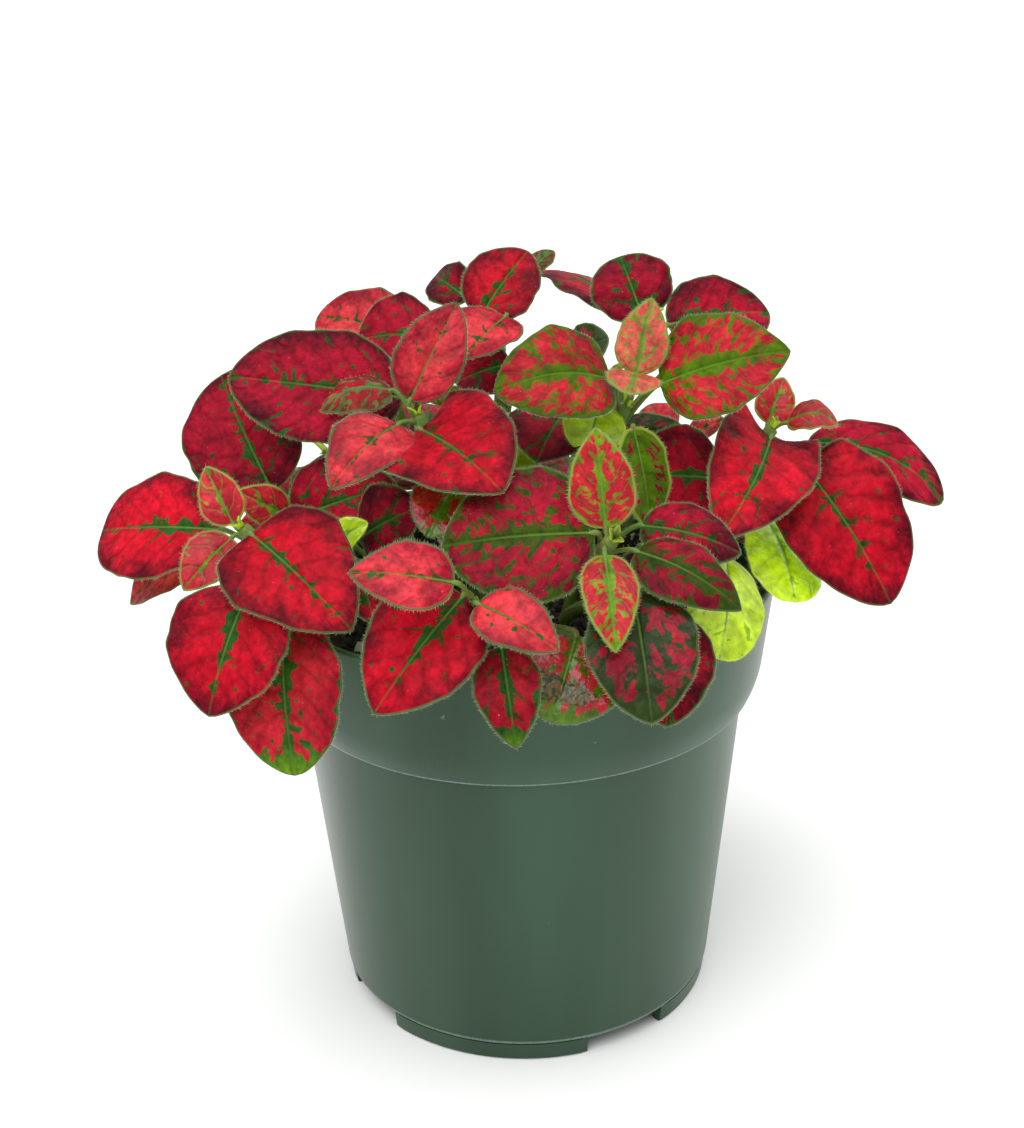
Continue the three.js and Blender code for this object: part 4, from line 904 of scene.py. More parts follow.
# Blades: points along and across a half of each, side veins, and the surface's own relief.
BASE_ROUNDNESS = 0.5
EDGE_WAVES = ((0.02, 2.3), (0.01, 6.1))
ROWS = 38
HALF_COLUMNS = (0.0, 0.035, 0.09, 0.18, 0.3, 0.42, 0.54, 0.66, 0.77, 0.865, 0.935, 0.98, 1.0)
BUD_ROWS = 10
BUD_COLUMNS = (0.0, 0.35, 0.7, 1.0)
ROUND_ROWS = 0.55
VEIN_SPACING = 5.2
VEIN_BEND = 0.3
FIRST_VEIN = 0.3
QUILT_HEIGHT = 0.0085
GROOVE_DEPTH = 0.35
GROOVE_WIDTH = 0.7
KEEL_DEPTH = 0.3
KEEL_WIDTH = 0.6
MARGIN_WAVE = 0.02
MARGIN_WAVES = 2.6
MARGIN_STEPS = 6

# Stems, leaf stalks and buds.
PATH_ROUNDS = 3
STALK_RADIUS = 0.66
STALK_WAIST = 0.22
STALK_STEP = 0.016
STALK_BEND = 1.8
STALK_POINTS = 11
# Under the blade: where the stalk runs, how deep, and its radius there.
STALK_RUN = (0.05, 0.3)
STALK_UNDER = 0.62
STALK_RUN_RADII = (0.5, 0.14)
STALK_RUN_POINTS = 5
# A narrow leaf's stalk is thinner: STALK_SLIM plus its width over STALK_SLIM_WIDTH, at most 1.
STALK_SLIM = 0.55
STALK_SLIM_WIDTH = 40
STEM_FOOT_RADIUS = 1.6
STEM_TOP_RADIUS = 1.1
NODE_SWELL = 0.32
NODE_LENGTH = 1.6
TUBE_SIDES = 12
TUBE_DOMES = (0.5, 0.6)
BUD_LEAFLETS = 3
BUD_LENGTH = (2.2, 3.6)
BUD_NARROWNESS = 0.5
BUD_RISE = (0.9, 1.3)
BUD_SPREAD = 0.7
BUD_LIFT = 0.6
BUD_FORM = (0.1, 0.35, 0.8, 0, 0)


def blade_frame(leaf):
    """Base point, three directions and sizes of a blade, from its row in SHOOTS."""
    _, _, base, tip, width, faces, form = leaf
    base = np.array(base, dtype=float)
    along = np.array(tip, dtype=float) - base
    reach = np.linalg.norm(along)
    along = along / reach
    azimuth, elevation = (math.radians(a) for a in faces)
    up = np.array([math.cos(azimuth) * math.cos(elevation),
                   math.sin(azimuth) * math.cos(elevation), math.sin(elevation)])
    up = unit(up - along * up.dot(along))
    return {"base": base, "along": along, "across": np.cross(up, along), "up": up,
            "length": reach, "width": width, "form": form}


def outline(blade, u, chance=None):
    """Half width of a blade at each share u along it, with a slightly uneven edge."""
    point = blade["form"][2]
    widest = BASE_ROUNDNESS / (BASE_ROUNDNESS + point)
    full = widest ** BASE_ROUNDNESS * (1 - widest) ** point
    half = blade["width"] / 2 * u ** BASE_ROUNDNESS * (1 - u) ** point / full
    if chance is None:
        return half
    uneven = 1
    for (height, count), start in zip(EDGE_WAVES, chance):
        uneven = uneven + height * np.sin(2 * math.pi * (count * u + start))
    return half * uneven


def blade_points(blade, u, v, half=None):
    """Middle surface of a blade: u from base to tip, v from its right edge (-1) to its left (1)."""
    arch, fold, _, heart, sweep = blade["form"]
    half = outline(blade, u) if half is None else half
    across = half * v
    bow = blade["length"] * 4 * u * (1 - u)
    lobe = heart * v * v * (1 - u) ** 2 * np.minimum(1, u * 8)
    x = blade["length"] * (u - lobe)
    y = across + sweep * bow
    z = arch * bow + fold * (np.sqrt(across * across + 1) - 1)
    return (blade["base"] + x[..., None] * blade["along"] + y[..., None] * blade["across"]
            + z[..., None] * blade["up"]), x, across


def wavy_half(blade, u, v, waves):
    """Half width at (u, v), with an uneven edge of its own on each side of the midrib."""
    return np.where(v < 0, outline(blade, u, waves[0:2]), outline(blade, u, waves[2:4]))


def blade_surface(blade, waves, rows, columns):
    """Grid over a blade's middle surface: points, u, v, the flat place and the vein number."""
    share = (1 - np.cos(np.pi * np.linspace(0, 1, rows + 1))) / 2
    share = ROUND_ROWS * share + (1 - ROUND_ROWS) * np.linspace(0, 1, rows + 1)
    u, v = np.meshgrid(share, [-v for v in columns[:0:-1]] + list(columns), indexing="ij")
    middle, x, across = blade_points(blade, u, v, wavy_half(blade, u, v, waves))

    # Quilting between the side veins, a groove along the midrib, and a lazy wave of the margin.
    pairs = max(3, round(blade["length"] / VEIN_SPACING))
    vein = (u - VEIN_BEND * np.abs(v) ** 1.4) * pairs + FIRST_VEIN
    swell = (1 - np.cos(2 * math.pi * vein)) * 0.5
    quilt = QUILT_HEIGHT * blade["length"] * swell * np.minimum(1, 2.2 * np.abs(v))
    quilt = quilt * (1 - np.abs(v) ** 4) * np.minimum(1, 6 * u) * (1 - u) ** 0.4
    groove = -GROOVE_DEPTH * np.exp(-(across / GROOVE_WIDTH) ** 2)
    groove = groove * (1 - u) ** 0.5 * np.minimum(1, 8 * u)
    phase = MARGIN_WAVES * u + np.where(v < 0, waves[4], waves[5])
    wave = MARGIN_WAVE * blade["width"] * np.abs(v) ** 3 * np.sin(2 * math.pi * phase) * np.sin(np.pi * u)
    middle = middle + (quilt + groove + wave)[..., None] * blade["up"]
    return middle, u, v, x, across, vein, blade["length"] / pairs


def margin_distance(blade, waves, share, x, across):
    """Distance from each point of the grid to the blade's margin, in the flat of the blade."""
    steps = np.linspace(0, 1, MARGIN_STEPS)[None, :, None]
    lines = []
    for hand in (-1.0, 1.0):
        v = np.full(len(share), hand)
        _, edge_x, edge_across = blade_points(blade, share, v, wavy_half(blade, share, v, waves))
        edge = np.stack([edge_x, edge_across], axis=-1)
        lines.append((edge[:-1, None] * (1 - steps) + edge[1:, None] * steps).reshape(-1, 2))
    lines = np.concatenate(lines)
    flat = np.stack([x, across], axis=-1).reshape(-1, 2)
    margin = np.sqrt(((flat[:, None] - lines[None]) ** 2).sum(axis=-1)).min(axis=1).reshape(x.shape)
    margin[:, [0, -1]] = 0
    return margin


def blade_faces(rows, count, last):
    """Faces of a closed blade: its base is point 0, its tip the last, and the margin is shared."""
    after_top = 1 + (rows - 1) * count

    def upper(i, j):
        return 1 + i * count + j

    def lower(i, j):
        if j in (0, count - 1):
            return upper(i, j)
        return after_top + i * (count - 2) + j - 1

    faces = []
    for at, turned in ((upper, False), (lower, True)):
        for j in range(count - 1):
            strip = [(0, at(0, j), at(0, j + 1))]
            strip += [(at(i, j), at(i + 1, j), at(i + 1, j + 1), at(i, j + 1))
                      for i in range(rows - 2)]
            strip.append((at(rows - 2, j), last, at(rows - 2, j + 1)))
            faces += [face[::-1] for face in strip] if turned else strip
    return faces


def blade_parts(blade, seed, thickness, rows, columns):
    """Points, faces and leaf attributes of one closed blade, and the points of its margin."""
    chance = random.Random(seed)
    waves = [chance.random() for _ in range(6)]
    middle, u, v, x, across, vein, spacing = blade_surface(blade, waves, rows, columns)
    margin = margin_distance(blade, waves, u[:, 0], x, across)

    normal = unit(np.cross(np.gradient(middle, axis=0), np.gradient(middle, axis=1)))
    normal = np.where((normal @ blade["up"])[..., None] < 0, -normal, normal)
    depth = thickness / 2 * np.sqrt(np.maximum(0, 1 - np.abs(v) ** 8)) * np.minimum(
        1, 0.4 + 5 * np.minimum(u, 1 - u))
    keel = KEEL_DEPTH * np.exp(-(across / KEEL_WIDTH) ** 2) * (1 - u) * np.minimum(1, 8 * u)

    inner = slice(1, rows)
    count = v.shape[1]
    top = (middle + normal * depth[..., None])[inner].reshape(-1, 3)
    under = (middle - normal * (depth + keel)[..., None])[inner, 1:-1].reshape(-1, 3)
    base, tip = middle[0, count // 2], middle[-1, count // 2]
    points = np.concatenate([[base], top, under, [tip]])

    def spread(values, ends=(0.0, 0.0)):
        """One value for each point of the closed blade, from a value for each of the grid's."""
        return np.concatenate([[ends[0]], values[inner].ravel(), values[inner, 1:-1].ravel(), [ends[1]]])

    side = np.ones_like(u)
    side[:, [0, -1]] = 0
    sides = np.concatenate([[0], side[inner].ravel(), -np.ones((rows - 1) * (count - 2)), [0]])
    place = np.stack([spread(x, (0, blade["length"])), spread(across), spread(margin)], axis=-1)
    pairs = blade["length"] / spacing
    shares = np.stack([spread(u, (0, 1)), spread(np.abs(v)), spread(vein, (FIRST_VEIN, pairs))], axis=-1)
    marks = np.stack([np.full(len(points), waves[0]), sides, np.full(len(points), spacing)], axis=-1)

    rim = np.concatenate([middle[inner, 0], [tip], middle[inner, -1][::-1]])
    lean = np.concatenate([
        -unit(middle[inner, 2] - middle[inner, 0]), [blade["along"]],
        -unit(middle[inner, -3] - middle[inner, -1])[::-1]])
    return {"points": points, "faces": blade_faces(rows, count, len(points) - 1), "place": place,
            "share": shares, "mark": marks, "rim": rim, "lean": lean}


def smooth_path(points):
    """A path with its corners cut round, its two ends kept."""
    points = np.array(points, dtype=float)
    for _ in range(PATH_ROUNDS):
        near = points[:-1] * 0.75 + points[1:] * 0.25
        far = points[:-1] * 0.25 + points[1:] * 0.75
        cut = np.stack([near, far], axis=1).reshape(-1, 3)
        points = np.concatenate([points[:1], cut[1:-1], points[-1:]])
    return points


def path_shares(points):
    """Distance along a path at each of its points."""
    steps = np.linalg.norm(np.diff(points, axis=0), axis=1)
    return np.concatenate([[0], np.cumsum(steps)])


def path_point(points, share):
    """The point at a share of the path's length."""
    points = np.array(points, dtype=float)
    far = path_shares(points)
    return np.array([np.interp(share * far[-1], far, points[:, k]) for k in range(3)])


def ring_faces(rings, sides):
    """Faces of a closed solid made of a point, rings of points above one another, and a point."""
    faces = []
    top = 1 + (rings - 1) * sides
    end = top + sides
    for k in range(sides):
        n = (k + 1) % sides
        faces.append((0, 1 + n, 1 + k))
        for a in range(1, top, sides):
            b = a + sides
            faces.append((a + k, a + n, b + n, b + k))
        faces.append((end, top + k, top + n))
    return faces


def tube_parts(points, radii, sides, seed):
    """Points, faces and stem_place of a closed round tube with domed ends."""
    points = np.array(points, dtype=float)
    radii = np.array(radii, dtype=float)
    tangent = unit(np.gradient(points, axis=0))
    far = path_shares(points)
    helper = np.array([1.0, 0, 0]) if abs(tangent[0][2]) > 0.9 else np.array([0, 0, 1.0])
    out = unit(helper - tangent[0] * helper.dot(tangent[0]))
    angle = 2 * math.pi * np.arange(sides) / sides
    rings, places = [], []
    for i, point in enumerate(points):
        out = unit(out - tangent[i] * out.dot(tangent[i]))
        side = np.cross(tangent[i], out)
        turn = np.cos(angle)[:, None] * out + np.sin(angle)[:, None] * side
        rings.append(point + turn * radii[i])
        places.append(np.stack([np.full(sides, far[i]), np.cos(angle) * radii[i] + seed,
                                np.sin(angle) * radii[i]], axis=-1))
    first = points[0] - tangent[0] * radii[0] * TUBE_DOMES[0]
    last = points[-1] + tangent[-1] * radii[-1] * TUBE_DOMES[1]
    all_points = np.concatenate([[first], *rings, [last]])
    place = np.concatenate([[[0, seed, 0]], *places, [[far[-1], seed, 0]]])
    return all_points, ring_faces(len(points), sides), place


def stem_points(shoot):
    """Points of a shoot's stem: upright through the soil, and on as it grows."""
    x, y = shoot["foot"]
    return [[x, y, STEM_FOOT], [x, y, STEM_RISE]] + shoot["stem"]


def stalk_path(stem, leaf, order, blade):
    """Path and radii of a leaf stalk, from inside its stem to under the blade's midrib."""
    start = path_point(stem, max(0.0, leaf[1] - STALK_STEP * (order + 1)))
    bend = blade["base"] - blade["along"] * STALK_BEND
    t = np.linspace(0, 1, STALK_POINTS)[:, None]
    arc = (1 - t) ** 2 * start + 2 * t * (1 - t) * bend + t ** 2 * blade["base"]
    run = np.linspace(*STALK_RUN, STALK_RUN_POINTS)
    under = blade_points(blade, run, np.zeros(len(run)))[0] - blade["up"] * STALK_UNDER
    radii = np.concatenate([
        STALK_RADIUS * (1.0 - STALK_WAIST * np.sin(np.pi * t[:, 0] * 0.9)),
        np.linspace(*STALK_RUN_RADII, STALK_RUN_POINTS)])
    slim = min(1.0, STALK_SLIM + blade["width"] / STALK_SLIM_WIDTH)
    return np.concatenate([arc, under]), radii * slim


def stem_radii(stem, path, leaves):
    """Radii along a stem: tapering, and swollen where leaves join it."""
    knots = path_shares(np.array(stem, dtype=float))
    coarse = np.linspace(STEM_FOOT_RADIUS, STEM_TOP_RADIUS, len(stem))
    far = path_shares(path)
    share = far / far[-1]
    radii = np.interp(share, knots / knots[-1], coarse)
    for node in sorted({leaf[1] for leaf in leaves}):
        radii = radii * (1 + NODE_SWELL * np.exp(-((share - node) * far[-1] / NODE_LENGTH) ** 2))
    return radii


def bud_blades(stem, seed):
    """The small folded leaflets at a stem's growing tip."""
    chance = random.Random(seed)
    end = np.array(stem[-1], dtype=float)
    up = unit(end - np.array(stem[-2], dtype=float))
    helper = np.array([0.3, -1.0, 0.2])
    side = unit(helper - up * helper.dot(up))
    other = np.cross(up, side)
    blades = []
    for k in range(BUD_LEAFLETS):
        turn = 2 * math.pi * k / BUD_LEAFLETS + chance.uniform(0, 1)
        out = math.cos(turn) * side + math.sin(turn) * other
        along = unit(up * chance.uniform(*BUD_RISE) + out * BUD_SPREAD)
        face = unit(up - along * up.dot(along))
        size = chance.uniform(*BUD_LENGTH)
        blades.append({"base": end + up * BUD_LIFT, "along": along, "across": np.cross(face, along),
                       "up": face, "length": size, "width": size * BUD_NARROWNESS,
                       "form": BUD_FORM})
    return blades


def joined_mesh(name, parts, materials):
    """One mesh object of many parts: each is (points, faces, material number), in millimetres."""
    points, faces, numbers, start = [], [], [], 0
    for part_points, part_faces, number in parts:
        points.append(part_points)
        faces += [tuple(start + k for k in face) for face in part_faces]
        numbers += [number] * len(part_faces)
        start += len(part_points)
    piece = mesh_object(name, np.concatenate(points) * MM, faces, materials)
    piece.data.polygons.foreach_set("material_index", numbers)
    return piece


def make_blades(name, shoot, look, materials, seed):
    """The blades of a shoot and its buds, as one mesh."""
    leaves = shoot["leaves"]
    rows = [(leaf[0], blade_frame(leaf), ROWS, HALF_COLUMNS) for leaf in leaves]
    bud_kind = "pale" if leaves[0][0] in ("pale", "fleck") else "sprout"
    rows += [(bud_kind, bud, BUD_ROWS, BUD_COLUMNS) for bud in bud_blades(stem_points(shoot), seed)]
    kinds = sorted({row[0] for row in rows})
    blades = [blade_parts(blade, seed * 100 + i, look.thickness / MM, count, columns)
              for i, (_, blade, count, columns) in enumerate(rows)]
    parts = [(blade["points"], blade["faces"], kinds.index(row[0])) for blade, row in zip(blades, rows)]
    piece = joined_mesh(name, parts, [materials[kind] for kind in kinds])
    for attribute in ("place", "share", "mark"):
        write_attribute(piece.data, "leaf_" + attribute,
                        np.concatenate([blade[attribute] for blade in blades]))
    return piece


def make_stems(name, shoot, material, seed):
    """The stem and leaf stalks of a shoot, as round tubes."""
    stem, leaves = stem_points(shoot), shoot["leaves"]
    path = smooth_path(stem)
    tubes = [tube_parts(path, stem_radii(stem, path, leaves), TUBE_SIDES, seed)]
    for order, leaf in enumerate(leaves):
        line, radii = stalk_path(stem, leaf, order, blade_frame(leaf))
        tubes.append(tube_parts(line, radii, TUBE_SIDES, seed + order + 1))
    piece = joined_mesh(name, [(points, faces, 0) for points, faces, _ in tubes], [material])
    write_attribute(piece.data, "stem_place", np.concatenate([tube[2] for tube in tubes]))
    return piece


# --------------------------------------------------------------------------------- geometry nodes

# Down: how far a hair strays from straight out, its least and greatest share of the length, its
# radius on a margin and on a stem, and how close hairs stand on a stem.
HAIR_STRAY = 0.55
HAIR_REACH = (0.45, 1.35)
MARGIN_HAIR = 0.045
STEM_HAIR = 0.04
STEM_HAIRS_PER_MM2 = 0.8
# Crumbs: least and greatest shares of the size in each direction, and lumps in a millimetre.
CRUMB_LEAST = (0.4, 0.4, 0.3)
CRUMB_MOST = (1.7, 1.2, 1.0)
CRUMB_LUMPS = 0.75
FULL_TURN = 6.28


def tree_sockets(tree, inputs):
    """A geometry nodes tree's interface: its given values by name, and the socket of its result."""
    for name, kind in ({"Geometry": "Geometry"} | inputs).items():
        tree.interface.new_socket(name, in_out="INPUT", socket_type="NodeSocket" + kind)
    tree.interface.new_socket("Geometry", in_out="OUTPUT", socket_type="NodeSocketGeometry")
    return tree.nodes.new("NodeGroupInput").outputs, tree.nodes.new("NodeGroupOutput").inputs[0]


def finish_tree(tree, result, instances, material):
    """Ends a tree: the instances made real, with their material."""
    real = add(tree, "GeometryNodeRealizeInstances", {"Geometry": instances}).outputs[0]
    finished = add(tree, "GeometryNodeSetMaterial", {"Geometry": real, "Material": material})
    tree.links.new(finished.outputs[0], result)


def down_tree(along_edges):
    """Sets fine tapering hairs along loose edges, or all over the faces of a mesh."""
    tree = bpy.data.node_groups.new("down_on_edges" if along_edges else "down_on_faces",
                                    "GeometryNodeTree")
    value, result = tree_sockets(tree, {
        "Spacing" if along_edges else "Density": "Float", "Length": "Float", "Radius": "Float",
        "Seed": "Int", "Material": "Material"})
    if along_edges:
        line = add(tree, "GeometryNodeMeshToCurve", {"Mesh": value["Geometry"]})
        spaced = add(tree, "GeometryNodeResampleCurve",
                     {"Curve": line.outputs[0], "Length": value["Spacing"]}, mode="LENGTH")
        roots = spaced.outputs[0]
        outward = add(tree, "GeometryNodeInputNamedAttribute", {"Name": "lean"},
                      data_type="FLOAT_VECTOR").outputs[0]
    else:
        strewn = add(tree, "GeometryNodeDistributePointsOnFaces", {
            "Mesh": value["Geometry"], "Density": value["Density"], "Seed": value["Seed"]})
        roots = strewn.outputs["Points"]
        outward = strewn.outputs["Normal"]
    stray = add(tree, "FunctionNodeRandomValue", {
        0: (-HAIR_STRAY,) * 3, 1: (HAIR_STRAY,) * 3, "Seed": value["Seed"]},
        data_type="FLOAT_VECTOR").outputs[0]
    pointing = add(tree, "ShaderNodeVectorMath", {0: outward, 1: stray}, operation="ADD").outputs[0]
    turn = add(tree, "FunctionNodeAlignRotationToVector", {"Vector": pointing}, axis="Z").outputs[0]
    reach = add(tree, "FunctionNodeRandomValue", {
        2: HAIR_REACH[0], 3: HAIR_REACH[1], "Seed": value["Seed"]}, data_type="FLOAT").outputs[1]
    stretch = add(tree, "ShaderNodeCombineXYZ", {0: 1.0, 1: 1.0, 2: reach}).outputs[0]
    hair = add(tree, "GeometryNodeMeshCone", {
        "Vertices": 3, "Radius Top": 0.0, "Radius Bottom": value["Radius"],
        "Depth": value["Length"]}).outputs[0]
    hairs = add(tree, "GeometryNodeInstanceOnPoints", {
        "Points": roots, "Instance": hair, "Rotation": turn, "Scale": stretch}).outputs[0]
    finish_tree(tree, result, hairs, value["Material"])
    return tree


def crumb_tree():
    """Strews crumbs of uneven size and turn over a surface."""
    tree = bpy.data.node_groups.new("strewn_crumbs", "GeometryNodeTree")
    value, result = tree_sockets(tree, {
        "Density": "Float", "Size": "Float", "Seed": "Int", "Material": "Material"})
    strewn = add(tree, "GeometryNodeDistributePointsOnFaces", {
        "Mesh": value["Geometry"], "Density": value["Density"], "Seed": value["Seed"]})
    turn = add(tree, "FunctionNodeRandomValue", {
        0: (0.0,) * 3, 1: (FULL_TURN,) * 3, "Seed": value["Seed"]},
        data_type="FLOAT_VECTOR").outputs[0]
    squash = add(tree, "FunctionNodeRandomValue", {
        0: CRUMB_LEAST, 1: CRUMB_MOST, "Seed": value["Seed"]},
        data_type="FLOAT_VECTOR").outputs[0]
    crumb = add(tree, "GeometryNodeMeshIcoSphere",
                {"Radius": value["Size"], "Subdivisions": 2}).outputs[0]
    at = add(tree, "GeometryNodeInputPosition").outputs[0]
    lumpy = add(tree, "ShaderNodeTexNoise",
                {"Vector": at, "Scale": CRUMB_LUMPS / MM, "Detail": 1.0}).outputs["Color"]
    centred = add(tree, "ShaderNodeVectorMath", {0: lumpy, 1: (0.5, 0.5, 0.5)},
                  operation="SUBTRACT").outputs[0]
    pushed = add(tree, "ShaderNodeVectorMath", {0: centred, "Scale": value["Size"]},
                 operation="SCALE").outputs[0]
    lump = add(tree, "GeometryNodeSetPosition", {"Geometry": crumb, "Offset": pushed}).outputs[0]
    crumbs = add(tree, "GeometryNodeInstanceOnPoints", {
        "Points": strewn.outputs["Points"], "Instance": lump, "Rotation": turn,
        "Scale": squash}).outputs[0]
    finish_tree(tree, result, crumbs, value["Material"])
    return tree


def margin_mesh(name, blades):
    """Loose edges along the margins of blades, with the way that the down leans."""
    points, edges, leans, start = [], [], [], 0
    for blade in blades:
        count = len(blade["rim"])
        points.append(blade["rim"])
        leans.append(blade["lean"])
        edges += [(start + k, start + k + 1) for k in range(count - 1)]
        start += count
    mesh = bpy.data.meshes.new(name)
    mesh.from_pydata([tuple(p) for p in np.concatenate(points) * MM], edges, [])
    write_attribute(mesh, "lean", np.concatenate(leans))
    return mesh


# --------------------------------------------------------------------------------------- pot, soil

# Pot: tapered body, deep band under the lip, and arc-shaped feet.
BAND_BOTTOM_RADIUS = 49.84
BAND_BOTTOM = 71.0
BODY_TOP_RADIUS = 47.9
BODY_BOTTOM_RADIUS = 41.5
BODY_BOTTOM = 4.2
FLOOR_UNDER = BODY_BOTTOM - 0.9
FLOOR_TOP = BODY_BOTTOM + 0.6
WALL = 1.3
FOOT_RADIUS = 40.9
FOOT_WIDTH = 2.6
FOOT_SPAN = 63
FOOT_AZIMUTHS = (-14, 76, 166, 256)
FOOT_SPREAD = 0.35
POT_SIDES = 160
FOOT_STEPS = 20
FOOT_DRAW = 0.82
CORNER_STEPS = 5
SHARP_ANGLE = 35

# Soil: the bed's depth and shoulder under its level, how rough its top is, and what lies on it.
SOIL_DEPTH = 12.0
SOIL_SHOULDER = 4.0
SOIL_DRAFT = 0.97
SOIL_RINGS = 46
SOIL_SIDES = 120
SOIL_ROUGH = 0.9
PEAT_GRAIN = 1.6
BARK_GRAIN = 1.1
PERLITE_GRAIN = 0.6
PERLITE_SHADE = 0.7
CRUMBS_PER_MM2 = 0.26
PERLITE_PER_MM2 = 0.012
PERLITE_SIZE = 1.25


def pot_profile(rim, top):
    """Pot outline, up its outside and down its inside: radius, height, corner radius, painted highlight.
    """
    return [
        (BODY_BOTTOM_RADIUS - 1.4, FLOOR_UNDER, 0.5, 0.0),
        (BODY_BOTTOM_RADIUS, BODY_BOTTOM + 0.5, 0.7, 0.9),
        (BODY_TOP_RADIUS, BAND_BOTTOM - 0.4, 0.25, 0.0),
        (BAND_BOTTOM_RADIUS - 0.6, BAND_BOTTOM, 0.2, 0.0),
        (BAND_BOTTOM_RADIUS, BAND_BOTTOM + 0.6, 0.35, 1.0),
        (BAND_BOTTOM_RADIUS + 1.1, BAND_BOTTOM + 3.2, 1.4, 0.0),
        (BAND_BOTTOM_RADIUS + 1.9, BAND_BOTTOM + 6.2, 3.0, 0.0),
        (rim, top - 0.7, 0.5, 0.3),
        (rim - 0.5, top, 0.35, 0.3),
        (rim - 1.1, top, 0.35, 0.0),
        (rim - WALL - 0.2, top - 1.2, 0.8, 0.0),
        (BAND_BOTTOM_RADIUS - WALL + 1.7, BAND_BOTTOM + 6.0, 3.0, 0.0),
        (BAND_BOTTOM_RADIUS - WALL + 0.6, BAND_BOTTOM + 2.0, 1.5, 0.0),
        (BODY_TOP_RADIUS - WALL, BAND_BOTTOM - 1.2, 1.0, 0.0),
        (BODY_BOTTOM_RADIUS - WALL, BODY_BOTTOM + 1.8, 1.0, 0.0),
        (BODY_BOTTOM_RADIUS - WALL - 1.2, FLOOR_TOP, 0.4, 0.0),
    ]


def rounded(profile):
    """The profile with each corner turned into a small arc."""
    result = []
    for i, (radius, height, bend, worn) in enumerate(profile):
        here = np.array([radius, height])
        if i in (0, len(profile) - 1):
            result.append((radius, height, worn))
            continue
        before = np.array(profile[i - 1][:2]) - here
        after = np.array(profile[i + 1][:2]) - here
        bend = min(bend, np.linalg.norm(before) * 0.45, np.linalg.norm(after) * 0.45)
        start, end = here + unit(before) * bend, here + unit(after) * bend
        for t in np.linspace(0, 1, CORNER_STEPS):
            point = (1 - t) ** 2 * start + 2 * t * (1 - t) * here + t * t * end
            result.append((point[0], point[1], worn * math.sin(math.pi * t)))
    return result


def lathe(rows, sides, low, high):
    """Closed turned solid from (radius, height, value) rows, with a middle point at each end."""
    angle = 2 * math.pi * np.arange(sides) / sides
    points = [np.array([[0, 0, low]])]
    values = [0.0]
    for radius, height, value in rows:
        points.append(np.stack([radius * np.cos(angle), radius * np.sin(angle),
                                np.full(sides, height)], axis=-1))
        values += [value] * sides
    points.append(np.array([[0, 0, high]]))
    values.append(0.0)
    return np.concatenate(points), ring_faces(len(rows), sides), values


def foot_parts(azimuth):
    """One arc-shaped foot, its lower edges rounded and its two ends drawn in."""
    section = [(FOOT_RADIUS - FOOT_WIDTH, BODY_BOTTOM), (FOOT_RADIUS - FOOT_WIDTH, 0.5),
               (FOOT_RADIUS - FOOT_WIDTH + 0.45, 0.0), (FOOT_RADIUS - 0.55, 0.0),
               (FOOT_RADIUS - 0.12, 0.4), (FOOT_RADIUS + FOOT_SPREAD, BODY_BOTTOM)]
    middle = (FOOT_RADIUS - FOOT_WIDTH / 2, BODY_BOTTOM * 0.55)
    turns = np.radians(azimuth - 90 + np.linspace(-FOOT_SPAN / 2, FOOT_SPAN / 2, FOOT_STEPS + 1))
    points = []
    for i, turn in enumerate(turns):
        draw = FOOT_DRAW if i in (0, FOOT_STEPS) else 1.0
        for radius, height in section:
            r = middle[0] + (radius - middle[0]) * draw
            z = height if height == 0.0 or height == BODY_BOTTOM else height * draw
            points.append((r * math.cos(turn), r * math.sin(turn), z))
    count = len(section)
    faces = [tuple(range(count)), tuple(FOOT_STEPS * count + k for k in reversed(range(count)))]
    for i in range(FOOT_STEPS):
        for k in range(count):
            n = (k + 1) % count
            a, b = i * count, (i + 1) * count
            faces.append((a + n, a + k, b + k, b + n))
    return np.array(points), faces


def soil_height(x, y):
    """Uneven top of the soil above its level, in millimetres."""
    return SOIL_ROUGH * (math.sin(0.31 * x + 1.3) * math.cos(0.27 * y) + 0.6 * math.sin(0.83 * x - 0.7 * y)
                         + 0.4 * math.cos(1.37 * y + 0.5 * x))


def soil_bed(level, wall):
    """Points and faces of the bed, and those of its open top alone."""
    rows = [(wall * SOIL_DRAFT, level - SOIL_DEPTH, 0.0), (wall, level - SOIL_SHOULDER, 0.0)]
    rows += [(wall * (1 - k / SOIL_RINGS), level, 0.0) for k in range(SOIL_RINGS)]
    points, faces, _ = lathe(rows, SOIL_SIDES, level - SOIL_DEPTH, level)
    for point in points[1 + 2 * SOIL_SIDES:]:
        point[2] += soil_height(point[0], point[1]) - SOIL_ROUGH
    first = 1 + 3 * SOIL_SIDES
    top_faces = [tuple(k - first for k in face) for face in faces if min(face) >= first]
    return points, faces, points[first:], top_faces


# ------------------------------------------------------------------------------------------- stage

CAMERA_PLACE = (0.0, -0.3341, 0.2346)
CAMERA_RIGHT = (0.9997, -0.0052, -0.0231)
CAMERA_UP = (0.0233, 0.3809, 0.9243)
CAMERA_FORWARD = (-0.004, 0.9246, -0.3809)
CAMERA_LENS = 54.26
CAMERA_SENSOR = 36.0
FLOOR_RADIUS = 6.0
FLOOR_SIDES = 96
# Lights: how wide each is in degrees, and which way it shines.
KEY_SPREAD = 60
KEY_TOWARD = (0.25, 0.42, -1.15)
BACK_SPREAD = 80
BACK_TOWARD = (-0.7, -0.6, -0.9)


